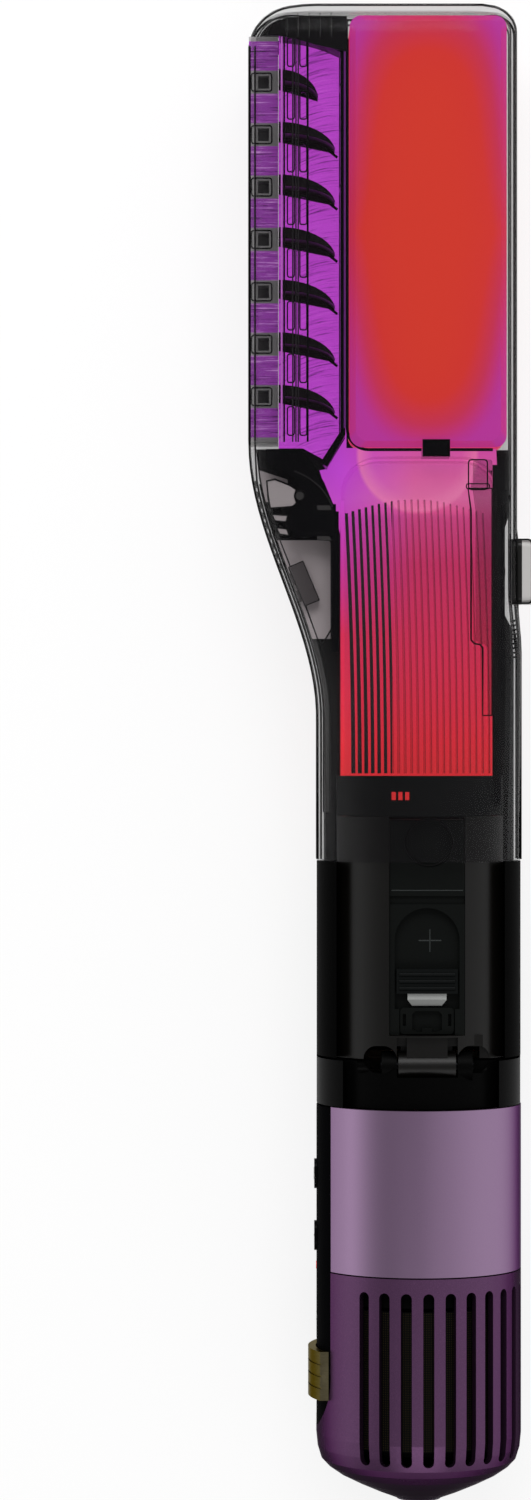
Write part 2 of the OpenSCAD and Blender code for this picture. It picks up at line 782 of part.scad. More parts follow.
// Dished recesses beside the barrel, half in the neck and half in the front housing.
module hinge_recesses() {
    for (s = [-1, 1])
        translate([lock_x + s * recess_x, arm_end])
            along_z(recess_z, base_r) pill(7.2, 6);
}
module hinge_pin() set_down() color("#b9bcc0") {
    translate([lock_x, hinge_y, hinge_z]) rod_x(pin_r, -ear_outer - 0.2, ear_outer + 0.2);
}
module neck_screws() set_down() color("#3b3b3f") {
    for (s = [-1, 1])
        translate([s * screw_x, 0, screw_z]) difference() {
            union() {
                rod_y(screw_r, screw_seat - 5, screw_seat + 0.1);
                rod_y(2, screw_seat + 0.1, screw_seat + 1.5);
            }
            along_y(screw_seat + 0.8, screw_seat + 2) circle(0.9, $fn = 6);
        }
}

// Shells and panels of the arms

module half_tube(outer_r, inner_r, low, high) {
    intersection() {
        ring_y(outer_r, inner_r, low, high);
        block(-base_r - 5, base_r + 5, low - 1, high + 1, half_gap, base_r + 5);
    }
}

module rear_grip() set_down() color("#141416") {
    rear_side() half_tube(grip_r, grip_r - 1.6, band_top + 0.2, grip_top - 0.1);
}
module rear_cover() set_down() color("#8f8f93") {
    rear_side() arm_shell(rear_depth, left_grille_notch, no_notch);
}
module front_cover() set_down() color("#9b9b9f") {
    arm_shell(front_depth, left_grille_notch, right_button_notch);
}
module front_grip_panels() set_down() color("#101012") {
    for (s = [-1, 1])
        intersection() {
            half_tube(grip_r, housing_r - 3, arm_end, grip_top - 0.1);
            block(s > 0 ? housing_half_w + fit_gap : -base_r, s > 0 ? base_r : -housing_half_w - fit_gap,
                arm_end - 1, grip_top + 1, 0, base_r);
        }
}

// Flat inner panel of an arm, with the opening for its plate.
module panel_outline() {
    skin = cover_wall + fit_gap;
    low_y = grille_low - 1.2;
    high_y = grille_high + 1.2;
    top_y = overall_len - skin - 0.4;
    ys = [for (k = [0 : 14]) grip_top + (low_y - grip_top) * k / 14];
    turn = [for (k = [0 : 4]) high_y + (top_y - high_y) * k / 4];
    difference() {
        polygon([
            [-housing_half_w + 2, arm_end + 4],
            [-grip_r + 5.2, grip_top],
            each [for (y = ys) [left_edge(y, skin), y]],
            [channel_left, low_y],
            [channel_left, high_y],
            each [for (y = turn) [left_edge(y, skin), y]],
            [right_edge(top_y, skin), top_y],
            [right_edge(overall_len - corner_right_r, skin), overall_len - corner_right_r],
            [right_edge(button_high + 5, skin), button_high + 5],
            [button_inner - 1.6, button_high + 1],
            [button_inner - 1.6, button_low - 1],
            each [for (k = [0 : 8]) let (y = button_low - 5 - (button_low - 5 - grip_top) * k / 8)
                [right_edge(y, skin), y]],
            [grip_r - 5.2, grip_top],
            [housing_half_w - 2, arm_end + 4]
        ]);
        translate([plate_x, (plate_low + plate_top) / 2])
            rounded(plate_w + 0.5, plate_len + 0.5, plate_corner_r + 0.2);
        translate([plate_x, plate_low - 0.25]) square([plate_w, plate_len + 9]);
        translate([plate_left - 0.25, (plate_low + plate_top) / 2]) square([plate_w, plate_len]);
    }
}
module inner_panel() {
    along_z(half_gap, half_gap + panel_t) panel_outline();
}
module front_inner_panel() set_down() color("#55555a") inner_panel();
module rear_inner_panel() set_down() color("#55555a") rear_side() inner_panel();

// Plates with their ceramic heaters

module plate_solid() {
    slot_z = half_gap + 3;
    difference() {
        translate([plate_x, (plate_low + plate_top) / 2, half_gap])
            hull() {
                linear_extrude(0.01) rounded(plate_w - 0.6, plate_len - 0.6, plate_corner_r);
                translate([0, 0, 0.3]) linear_extrude(plate_t - plate_bevel - 0.3)
                    rounded(plate_w, plate_len, plate_corner_r);
                linear_extrude(plate_t)
                    rounded(plate_w - 2 * plate_bevel, plate_len - 2 * plate_bevel, plate_corner_r);
            }
        block(plate_x - heater_w / 2 - 0.1, plate_x + heater_w / 2 + 0.1, plate_low - 1,
            plate_top - 3, slot_z, slot_z + heater_t + 0.2);
    }
}
module plate_heater() {
    slot_z = half_gap + 3.1;
    block(plate_x - heater_w / 2, plate_x + heater_w / 2, plate_low + 0.6, plate_top - 3.1,
        slot_z, slot_z + heater_t);
}
module front_plate() set_down() color("#d04038") plate_solid();
module rear_plate() set_down() color("#b9b0ac") rear_side() plate_solid();
module front_plate_heater() set_down() color("#e9e4da") plate_heater();
module rear_plate_heater() set_down() color("#e9e4da") rear_side() plate_heater();
module front_plate_clip() set_down() color("#111113") {
    clip_x = plate_x + 1.7;
    union() {
        block(clip_x - 3, clip_x + 3, duct_end + 0.2, plate_low - 0.15, half_gap + panel_t + 0.05,
            half_gap + plate_t + 0.2);
        block(clip_x - 3, clip_x + 3, duct_end + 0.2, plate_low + 1.6, half_gap + plate_t + 0.2,
            half_gap + plate_t + 1);
    }
}

// Open coil spring as one swept tube round the Z axis.
module coil_spring(r, wire, height, turns) {
    sides = 6;
    steps = turns * 12;
    function at(k) = [r * cos(360 * turns * k / steps), r * sin(360 * turns * k / steps),
        wire + (height - 2 * wire) * k / steps];
    function rim(k, s) =
        let (a = 360 * turns * k / steps, b = 360 * s / sides)
        at(k) + wire * cos(b) * [cos(a), sin(a), 0] + wire * sin(b) * [0, 0, 1];
    points = [for (k = [0 : steps], s = [0 : sides - 1]) rim(k, s)];
    faces = [
        for (k = [0 : steps - 1], s = [0 : sides - 1])
            let (t = (s + 1) % sides, a = k * sides, b = a + sides)
            each [[a + s, b + t, b + s], [a + s, a + t, b + t]],
        [for (s = [0 : sides - 1]) sides - 1 - s],
        [for (s = [0 : sides - 1]) steps * sides + s]
    ];
    polyhedron(points, faces, convexity = 8);
}
module rear_plate_springs() set_down() color("#b9bcc0") {
    back_z = half_gap + plate_t + 0.15;
    spring_h = rear_depth - cover_wall - 0.2 - back_z;
    rear_side()
        for (x = [-8.5, 4.5], y = [plate_low + 18, plate_top - 22])
            translate([plate_x + x, y, back_z]) coil_spring(3, 0.45, spring_h, 5);
}

// Air path

module channel_outline() {
    polygon([
        [channel_left, grille_low - 1],
        [channel_left, grille_high + 1],
        [channel_right, grille_high + 1],
        [channel_right, plate_low + 3.4],
        [channel_right - 3.6, plate_low - 2.2],
        [channel_right - 7.9, grille_low - 1]
    ]);
}
// Floor and ceiling of the side channel, joined at the top end, open to the outlets.
// With its wall it also carries two stops that end the travel of the floating plate.
module air_channel(with_wall) {
    reach = channel_right + fit_gap + divider_t;
    stop_z = half_gap + plate_t + plate_float + 0.1;
    difference() {
        union() {
            along_z(channel_z, channel_z + duct_wall) channel_outline();
            along_z(channel_top - duct_wall, channel_top) channel_outline();
            block(channel_left, channel_right, grille_high, grille_high + 1, channel_z, channel_top);
            if (with_wall) {
                block(channel_right - 0.4, reach, plate_low - 1, grille_high + 1, channel_z, channel_top);
                for (y = [plate_low + 12, plate_top - 16])
                    block(reach - 0.1, plate_left + 2.2, y - 4, y + 4, stop_z, stop_z + 1.1);
            }
        }
        for (i = [0 : window_count - 1], side = [0, 1])
            translate([channel_left + 2.6 + 2.7 * side, window_top_y - i * window_pitch])
                along_z(channel_top - duct_wall - 1, channel_top + 1) rounded(1.1, 5.6, 0.54);
    }
}
module front_air_channel() set_down() color("#9a3aa8") air_channel(false);
module rear_air_channel() set_down() color("#9a3aa8") rear_side() air_channel(true);
module front_divider() set_down() color("#0c0c0e") {
    steps = 8;
    reach = divider_x - channel_left;
    difference() {
        union() {
            along_z(channel_z, channel_top) polygon([
                [divider_x, plate_low + 3], [divider_x, grille_high + 1],
                [divider_x + divider_t, grille_high + 1], [divider_x + divider_t, plate_low + 2.4],
                [divider_x - 2.8, duct_end - 2.2], [divider_x - 4, duct_end - 1.6]
            ]);
            along_z(channel_z + duct_wall + 0.1, channel_top - duct_wall - 0.1) polygon([
                for (k = [0 : steps])
                    [channel_left + 0.2 + reach * k / steps, grille_high - 0.7 - 3.4 * pow(k / steps, 2)],
                [divider_x + 0.3, grille_high - 0.15], [channel_left + 0.2, grille_high - 0.15]
            ]);
            for (y = [divider_low + 0.61 * divider_len, divider_low + 0.86 * divider_len])
                translate([divider_x + divider_t / 2 + 0.05, y, channel_z]) cylinder(r = 0.7, h = channel_depth);
        }
        block(divider_x - 4.2, divider_x + divider_t + 1, duct_end - 0.8, plate_low + 1.6,
            channel_z + 2.4, channel_top - 2.4);
    }
}

// Crescent of a turning vane in plan: convex on top, with its tip toward the air.
module vane_outline(reach, drop) {
    steps = 10;
    polygon([
        each [for (k = [0 : steps]) let (a = 80 * k / steps)
            [reach * sin(a) / sin(80), -drop * (1 - cos(a)) / (1 - cos(80))]],
        each [for (k = [steps - 1 : -1 : 0]) let (a = 80 * k / steps)
            [reach * sin(a) / sin(80),
             -vane_root - (drop - vane_root) * (1 - cos(a)) / (1 - cos(80)) - 0.05]]
    ]);
}
module turning_vanes() {
    for (i = [0 : window_count - 2]) {
        reach = i == 0 ? vane_reach * 0.7 : vane_reach;
        y = window_top_y - i * window_pitch - window_len / 2 - 0.3;
        translate([channel_left, y, 0])
            along_z(channel_z + duct_wall + 0.1, channel_top - duct_wall - 0.1)
                vane_outline(reach, vane_drop);
    }
}
module front_turning_vanes() set_down() color("#1a1a1c") turning_vanes();
module rear_turning_vanes() set_down() color("#1a1a1c") rear_side() turning_vanes();

module outlet_grille() {
    difference() {
        block(grille_left, grille_right, grille_low, grille_high, half_gap, half_gap + grille_h);
        for (i = [0 : window_count - 1])
            translate([0, window_top_y - i * window_pitch, window_z + window_h / 2])
                along_x(grille_left - 1, grille_right + 1) rounded(window_len, window_h, 1);
        for (i = [0 : window_count - 2])
            translate([0, window_top_y - (i + 0.5) * window_pitch, 0])
                block(grille_left + 2, grille_right - 2, -1.4, 1.4, half_gap + 1.2, half_gap + grille_h + 1);
    }
}
module front_outlet_grille() set_down() color("#4a4a4e") outlet_grille();
module rear_outlet_grille() set_down() color("#4a4a4e") rear_side() outlet_grille();

// Arched section of the handle's duct, inset for its bore.
module duct_section(inset) {
    intersection() {
        translate([duct_x - duct_w / 2 + inset, channel_z + inset])
            square([duct_w - 2 * inset, duct_depth]);
        translate([duct_x, duct_top_z - duct_arc_r]) circle(duct_arc_r - inset, $fn = 180);
    }
}
module duct_plan(inset) {
    r = duct_corner_r - inset;
    x0 = duct_x - duct_w / 2 + inset;
    x1 = duct_x + duct_w / 2 - inset;
    y1 = duct_end - inset;
    union() {
        translate([x0, duct_start - 2]) square([x1 - x0, y1 - r - duct_start + 2]);
        translate([x0 + r, y1 - r - 1]) square([x1 - x0 - 2 * r, r + 1]);
        for (x = [x0 + r, x1 - r])
            translate([x, y1 - r]) circle(r);
    }
}
module duct_solid(inset, low) {
    intersection() {
        along_y(low, duct_end + 1) duct_section(inset);
        along_z(0, duct_top_z + 1) duct_plan(inset);
    }
}
module handle_duct() {
    difference() {
        duct_solid(0, duct_start);
        duct_solid(duct_wall, duct_start - 1);
        block(duct_x - duct_w / 2 - 1, duct_x - duct_w / 2 + 5, duct_end - 9, duct_end - 1.5,
            channel_z + 2, duct_top_z - duct_crown - 1.5);
    }
}
// Fin in plan: it leans and bends toward the vent side on its way up.
module fin_outline(x, thick, low, high) {
    steps = 6;
    function bend(k) = -fin_lean * pow(k / steps, 2);
    polygon([
        for (k = [0 : steps]) [x + bend(k) - thick / 2, low + (high - low) * k / steps],
        for (k = [steps : -1 : 0])
            [x + bend(k) + thick / 2 * (1 - 0.6 * k / steps), low + (high - low) * k / steps]
    ]);
}
module guide_fins() {
    low = duct_start + 8;
    floor_z = channel_z + duct_wall;
    first = duct_x - duct_w / 2 + duct_wall + 1.9;
    span = duct_w - 2 * duct_wall - 3;
    union() {
        block(duct_x - duct_w / 2 + duct_wall + 0.15, duct_x + duct_w / 2 - duct_wall - 0.15, low,
            duct_end - 12, floor_z, floor_z + 0.6);
        for (i = [0 : fin_count - 1]) {
            part = i / (fin_count - 1);
            along_z(floor_z, floor_z + fin_h)
                fin_outline(first + span * part, fin_thin + 0.55 * pow(1 - part, 2), low,
                    duct_end - 12 + 3 * sin(180 * part));
        }
    }
}
module front_duct() set_down() color("#b8323f") handle_duct();
module front_guide_fins() set_down() color("#7c2430") translate([0, 0, 0.1]) guide_fins();
module rear_duct() set_down() color("#b8323f") rear_side() union() {
    handle_duct();
    guide_fins();
}

// Black housing in the front grip, with the lock

module housing_solid(r, half_w, low, high, z0) {
    intersection() {
        rod_y(r, low, high);
        block(-half_w, half_w, low - 1, high + 1, z0, r + 1);
    }
}
module front_housing() set_down() color("#131315") {
    difference() {
        union() {
            difference() {
                housing_solid(housing_r, housing_half_w, arm_end, collar_low - 0.1, channel_z);
                housing_solid(housing_r - housing_wall, housing_half_w - housing_wall,
                    arm_end - 1, collar_low + 1, channel_z - 1);
                block(lock_x - tray_w / 2 - 0.1, lock_x + tray_w / 2 + 0.1, tray_low, tray_high + 2,
                    10, 25);
                block(lock_x - ear_inner, lock_x + ear_inner, arm_end - 1, tray_low - 0.4, tray_under_z, base_r);
                hinge_recesses();
            }
            block(lock_x - 4.4, lock_x + 4.4, hinge_y + 2, tray_low, lever_z, 18.2);
            for (s = [-1, 1])
                block(lock_x + s * (tray_w / 2 - 1.3) - 1.4, lock_x + s * (tray_w / 2 - 1.3) + 1.4,
                    tray_low - 1.6, tray_high - 0.1, lever_z, tray_under_z - 0.05);
            block(lock_x - tray_w / 2 - 4, lock_x + tray_w / 2 + 4, tray_low - 2.4, tray_low, lever_z, 16.4);
            block(lock_x - 5.6, lock_x + 5.6, hinge_y, tray_low, lever_z, tray_under_z - 0.05);
            translate([lock_x, hinge_y, hinge_z]) rod_x(barrel_r, -barrel_len / 2, barrel_len / 2);
        }
        translate([lock_x, hinge_y, hinge_z]) {
            rod_x(pin_r + hinge_play, -15, 15);
            for (s = [-1, 1])
                translate([s * (ear_inner + ear_t / 2), 0, 0])
                    rod_x(barrel_r + 0.7, -ear_t / 2 - 0.4, ear_t / 2 + 0.4);
        }
    }
}
module duct_collar() set_down() color("#17171a") {
    window = 1.1;
    difference() {
        intersection() {
            rod_y(housing_r, collar_low, collar_high);
            block(-collar_half_w, collar_half_w, collar_low, collar_high, channel_z, base_r);
        }
        along_y(collar_low - 1, collar_high + 1) collar_opening();
        for (i = [-1 : 1])
            translate([-4.5 + i * 1.45, (collar_low + collar_high) / 2])
                along_z(duct_top_z - 2, base_r) square([window, 1.8], center = true);
    }
}
// Opening in the collar that takes the duct's lower end.
module collar_opening() {
    grow = 0.12;
    intersection() {
        translate([duct_x - duct_w / 2 - grow, channel_z - 3])
            square([duct_w + 2 * grow, duct_depth + 5]);
        translate([duct_x, duct_top_z - duct_arc_r]) circle(duct_arc_r + grow, $fn = 180);
    }
}
module well_outline() {
    union() {
        translate([lock_x - well_w / 2, well_low]) square([well_w, well_high - well_w / 2 - well_low]);
        translate([lock_x, well_high - well_w / 2]) circle(well_w / 2);
    }
}
module lock_tray() set_down() color("#19191c") {
    groove_low = well_high + 0.8;
    dial_r = 5;
    difference() {
        block(lock_x - tray_w / 2, lock_x + tray_w / 2, tray_low + 0.1, tray_high, tray_under_z, tray_top_z);
        along_z(tray_floor_z, tray_top_z + 1) well_outline();
        block(lock_x - clip_w / 2 - 0.2, lock_x + clip_w / 2 + 0.2, tray_low - 1, well_low + 1,
            tray_floor_z, tray_top_z + 1);
        block(lock_x - tray_w / 2 - 1, lock_x + tray_w / 2 + 1, groove_low, groove_low + 1.8,
            tray_top_z - 0.8, tray_top_z + 1);
        translate([lock_x + 0.6, tray_high - dial_r - 0.3, tray_top_z - 0.9]) cylinder(r = dial_r, h = 2);
    }
}
module lock_slider() set_down() color("#2a2a2e") {
    pad_z = tray_floor_z + 0.15;
    union() {
        block(lock_x - pad_w / 2, lock_x + pad_w / 2, pad_low, pad_high, pad_z, pad_z + 2.2);
        for (i = [-1 : 1])
            translate([lock_x, pad_y + i * 1.5, pad_z + 2.2]) rod_x(0.45, -pad_w / 2 + 0.6, pad_w / 2 - 0.6);
    }
}
module lock_catch() set_down() color("#c8c8cc") {
    intersection() {
        along_z(tray_floor_z, tray_top_z) polygon([
            [lock_x - 4.2, pad_low - 0.05], [lock_x - 4.2, pad_low - 1.4], [lock_x - 3.2, pad_low - 2.7],
            [lock_x + 3.2, pad_low - 2.7], [lock_x + 4.2, pad_low - 1.4], [lock_x + 4.2, pad_low - 0.05]
        ]);
        along_x(lock_x - 5, lock_x + 5) polygon([
            [pad_low, tray_floor_z + 0.3], [pad_low, tray_floor_z + 1.7], [pad_low - 1.3, tray_floor_z + 1.7],
            [pad_low - 3, tray_floor_z + 0.5], [pad_low - 3, tray_floor_z + 0.3]
        ]);
    }
}
module catch_clip() set_down() color("#202024") {
    clip_low = tray_low + 0.3;
    clip_high = pad_low - 3.1;
    half = (clip_high - clip_low) / 2;
    along_z(tray_floor_z + 0.05, tray_floor_z + 1.4)
        translate([lock_x, clip_low + half]) difference() {
            rounded(clip_w, 2 * half, 0.8);
            difference() {
                polygon([
                    [-3.2, 0.9 - half], [-2.2, 0.5 - half], [2.2, 0.5 - half], [3.2, 0.9 - half],
                    [3.2, half - 1.4], [2.5, half - 0.7], [-2.5, half - 0.7], [-3.2, half - 1.4]
                ]);
                translate([-1.1, -half]) square([2.2, 1.3]);
            }
            for (s = [-1, 1])
                translate([s * (clip_w / 2 - 0.9) - 0.35, -1.1]) square([0.7, 2.6]);
        }
}

// Side button with its switch and rail

module side_button() set_down() color("#cfcdca") {
    along_x(button_inner, side_reach)
        translate([side_y, button_z + button_h / 2]) rounded(side_len, button_h, 1.8);
}
module side_button_switch() set_down() color("#2b2b2e") {
    translate([0, side_y, button_z + button_h / 2]) {
        block(bracket_x + bracket_t, bracket_x + bracket_t + switch_t - 0.25, -3, 3, -2, 2);
        rod_x(1.1, bracket_x + bracket_t, bracket_x + bracket_t + switch_t);
    }
}
module button_bracket() set_down() color("#0e0e10") {
    union() {
        block(bracket_x, bracket_x + bracket_t, bracket_low, bracket_high, channel_z, channel_z + 5.6);
        translate([bracket_x + 1.05, bracket_high - 1.8, channel_z]) cylinder(r = 1, h = 6.6);
    }
}

// Air temperature sensor on the duct's shoulder, with the clear strip that covers its wires.
module sensor_strip() set_down() color("#3b2c32") {
    strip_z = duct_top_z - 1.3;
    low = duct_start + 20.5;
    step_y = duct_end - 40.6;
    high = duct_end - 11.8;
    in_x = duct_x + duct_w / 2 - 5.3;
    step_x = in_x + 2.6;
    out_x = in_x + 4.7;
    box_low = duct_end - 7.4;
    union() {
        along_z(strip_z, strip_z + 0.6) polygon([
            [step_x, low], [out_x, low], [out_x, box_low + 0.5], [in_x + 0.6, box_low + 0.5],
            [in_x - 0.7, box_low + 0.5], [in_x, high], [in_x, step_y + 0.8], [in_x + 0.8, step_y],
            [step_x - 0.6, step_y - 0.2], [step_x, step_y - 0.9]
        ]);
        translate([in_x + 1.5, box_low + 3.4, strip_z]) linear_extrude(1.7) rounded(4.2, 6.6, 0.7);
        translate([in_x + 1.5, box_low + 0.9, strip_z]) linear_extrude(1.3) rounded(5.1, 1, 0.4);
    }
}

// Pieces in the swelling below the vents

module corner_housing() set_down() color("#0a0a0c") {
    high = channel_z + 7;
    arch_x = channel_left - 2.85;
    union() {
        translate([post_x, post_y, channel_z]) cylinder(r = 4.6, h = high - channel_z);
        block(post_x, leg_x - 0.6, post_y - 4.4, post_y + 2.6, channel_z, high);
        block(leg_x - 1.5, leg_x, wedge_low - 3, post_y + 1, channel_z, high);
        along_z(channel_z, high)
            polygon([
                [arch_x, grille_low - 1.62], [arch_x + 7.8, grille_low - 1.62],
                [post_x + 2.3, post_y + 10.4], [post_x + 4.1, post_y + 7.2], [leg_x - 0.7, post_y + 1.4],
                [post_x - 1.1, post_y + 0.4], [post_x - 2.1, post_y + 8.4], [arch_x, grille_low - 4.22]
            ]);
        translate([post_x - 2, post_y + 6.2, channel_z]) difference() {
            cylinder(r = 1.5, h = high - channel_z);
            translate([0, 0, 3]) cylinder(r = 0.8, h = high);
        }
        finger_block();
    }
}
// Slotted end of the corner piece: four fingers that reach for the casing.
module finger_block() {
    low = post_y - 3.4;
    tall = 6.4;
    difference() {
        along_z(channel_z, channel_z + 2.4) polygon([
            [left_edge(low, cover_wall + 0.5), low], [post_x - 3, low], [post_x - 3, low + tall],
            [left_edge(low + tall, cover_wall + 0.5), low + tall]
        ]);
        for (k = [0 : 2])
            translate([post_x - 5.6 - 0.35 * k, low + 1.15 + 2.05 * k, channel_z - 1])
                linear_extrude(5) translate([-0.9, 0]) pill(3.6, 1.2);
    }
}
module wedge_panel() set_down() color("#8b8284") {
    skin = cover_wall + 0.5;
    steps = 6;
    along_z(channel_z, channel_z + 1.2)
        polygon([
            for (k = [0 : steps])
                let (y = wedge_low + (wedge_high - wedge_low) * k / steps) [left_edge(y, skin), y],
            [leg_x - 1.7, wedge_high], [leg_x - 1.7, wedge_low]
        ]);
    along_z(channel_z, channel_z + 1.2)
        polygon([
            for (k = [0 : steps])
                let (y = post_y + 3.4 + 6.9 * k / steps) [left_edge(y, skin), y],
            [post_x - 3.9, post_y + 8.3], [post_x - 3.9, post_y + 3.4]
        ]);
}
module wire_connector() set_down() color("#5b5557") {
    translate([post_x - 0.3, (wedge_low + wedge_high) / 2 + 1.2, channel_z + 1.25]) rotate([0, 0, 22]) union() {
        translate([-1.7, -4.6, 0]) cube([3.4, 9.2, 2.4]);
        for (y = [-3.4, 0.6])
            translate([-2.4, y, 0]) cube([0.8, 2.6, 1.6]);
    }
}

band_sleeve();
inlet_cage();
filter_sleeve();
base_frame();
cord_gland();
motor_mounts();
motor_can();
motor_stator();
motor_shaft();
motor_bearings();
impeller();
diffuser();
air_heater();
main_board();
control_strip();
control_board();
indicator_lens();
slide_switch();
power_slider();
temp_up_button();
temp_down_button();
hinge_bracket();
hinge_pin();
neck_screws();
rear_grip();
rear_cover();
rear_inner_panel();
rear_duct();
rear_air_channel();
rear_turning_vanes();
rear_outlet_grille();
rear_plate();
rear_plate_heater();
rear_plate_springs();
front_cover();
front_inner_panel();
front_duct();
front_guide_fins();
front_air_channel();
front_divider();
front_turning_vanes();
front_outlet_grille();
front_plate();
front_plate_heater();
front_plate_clip();
front_housing();
duct_collar();
lock_tray();
lock_slider();
lock_catch();
catch_clip();
front_grip_panels();
side_button();
side_button_switch();
button_bracket();
sensor_strip();
corner_housing();
wedge_panel();
wire_connector();
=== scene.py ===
# Hair straightener with air drying, lying closed on its back, clear above the grip.
import math

import bpy
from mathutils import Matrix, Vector


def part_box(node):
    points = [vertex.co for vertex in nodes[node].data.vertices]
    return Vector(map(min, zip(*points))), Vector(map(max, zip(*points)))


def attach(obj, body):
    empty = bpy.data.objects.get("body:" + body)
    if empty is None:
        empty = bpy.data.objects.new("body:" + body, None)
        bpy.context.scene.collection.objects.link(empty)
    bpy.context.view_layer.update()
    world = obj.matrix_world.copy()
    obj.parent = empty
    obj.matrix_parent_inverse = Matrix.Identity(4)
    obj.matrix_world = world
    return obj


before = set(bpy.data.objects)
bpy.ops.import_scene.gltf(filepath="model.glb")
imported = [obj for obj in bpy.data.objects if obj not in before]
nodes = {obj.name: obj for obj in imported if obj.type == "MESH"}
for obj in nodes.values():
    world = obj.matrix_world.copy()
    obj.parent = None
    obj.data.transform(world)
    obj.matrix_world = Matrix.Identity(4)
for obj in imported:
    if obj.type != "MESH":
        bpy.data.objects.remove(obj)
scene = bpy.context.scene
scene.view_settings.view_transform = "Standard"
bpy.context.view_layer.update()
print("frame loaded:", len(nodes), "nodes")

# The drawing has its zero at the bottom of the base, on the handle's axis, where the arms meet.
drawing = {"shiftX": 6.275, "shiftY": -163.5, "shiftZ": 22.5}


def place(x, y, z):
    # millimetres of the drawing, to metres of the scene
    return Vector((
        (x + drawing["shiftX"]) / 1000, (y + drawing["shiftY"]) / 1000, (z + drawing["shiftZ"]) / 1000,
    ))


def linear(hexCode, alpha=1.0):
    values = []
    for start in (1, 3, 5):
        part = int(hexCode[start:start + 2], 16) / 255
        values.append(part / 12.92 if part <= 0.04045 else ((part + 0.055) / 1.055) ** 2.4)
    return (*values, alpha)


prefixes = {"SHADER": "ShaderNode", "GEOMETRY": "GeometryNode"}


def adder(tree):
    def add(kind, values=None):
        # the kind goes without its tree's prefix, and a second word is its operation or data type
        kind, *modes = kind.split()
        node = tree.nodes.new(kind if "Node" in kind else prefixes[tree.type] + kind)
        for mode in modes:
            setattr(node, "operation" if hasattr(node, "operation") else "data_type", mode)
        for key, value in (values or {}).items():
            # a node stands for its first output in use, an output is linked, and a colour is written in hex
            if hasattr(value, "outputs"):
                value = next(output for output in value.outputs if output.enabled)
            elif isinstance(value, str) and value[0] == "#":
                value = linear(value)
            if isinstance(value, bpy.types.NodeSocket):
                tree.links.new(value, node.inputs[key])
            elif key == "stops":
                bar = node.color_ramp.elements
                bar[0].position, bar[0].color = value[0][0], linear(value[0][1])
                bar[1].position, bar[1].color = value[-1][0], linear(value[-1][1])
                for spot, colour in value[1:-1]:
                    bar.new(spot).color = linear(colour)
            elif isinstance(key, str) and hasattr(node, key):
                setattr(node, key, value)
            else:
                node.inputs[key].default_value = value
        return node

    return add


def emptyTree(holder):
    holder.use_nodes = True
    holder.node_tree.nodes.clear()
    return adder(holder.node_tree)


def newMaterial(build, *values, name=None):
    # the function that builds the tree returns its shader, and names the material
    material = bpy.data.materials.new(name or build.__name__)
    add = emptyTree(material)
    add("OutputMaterial", {"Surface": build(add, *values)})
    return material


def millimetres(add):
    # object coordinates, in millimetres of the drawing
    where = add("TexCoord")
    grown = add("VectorMath SCALE", {"Scale": 1000.0, 0: where.outputs["Object"]})
    return add("VectorMath SUBTRACT", {
        0: grown, 1: (drawing["shiftX"], drawing["shiftY"], drawing["shiftZ"]),
    })


def dress(material, *names):
    for name in names:
        mesh = nodes[name].data
        mesh.materials.clear()
        mesh.materials.append(material)
        for face in mesh.polygons:
            face.material_index = 0


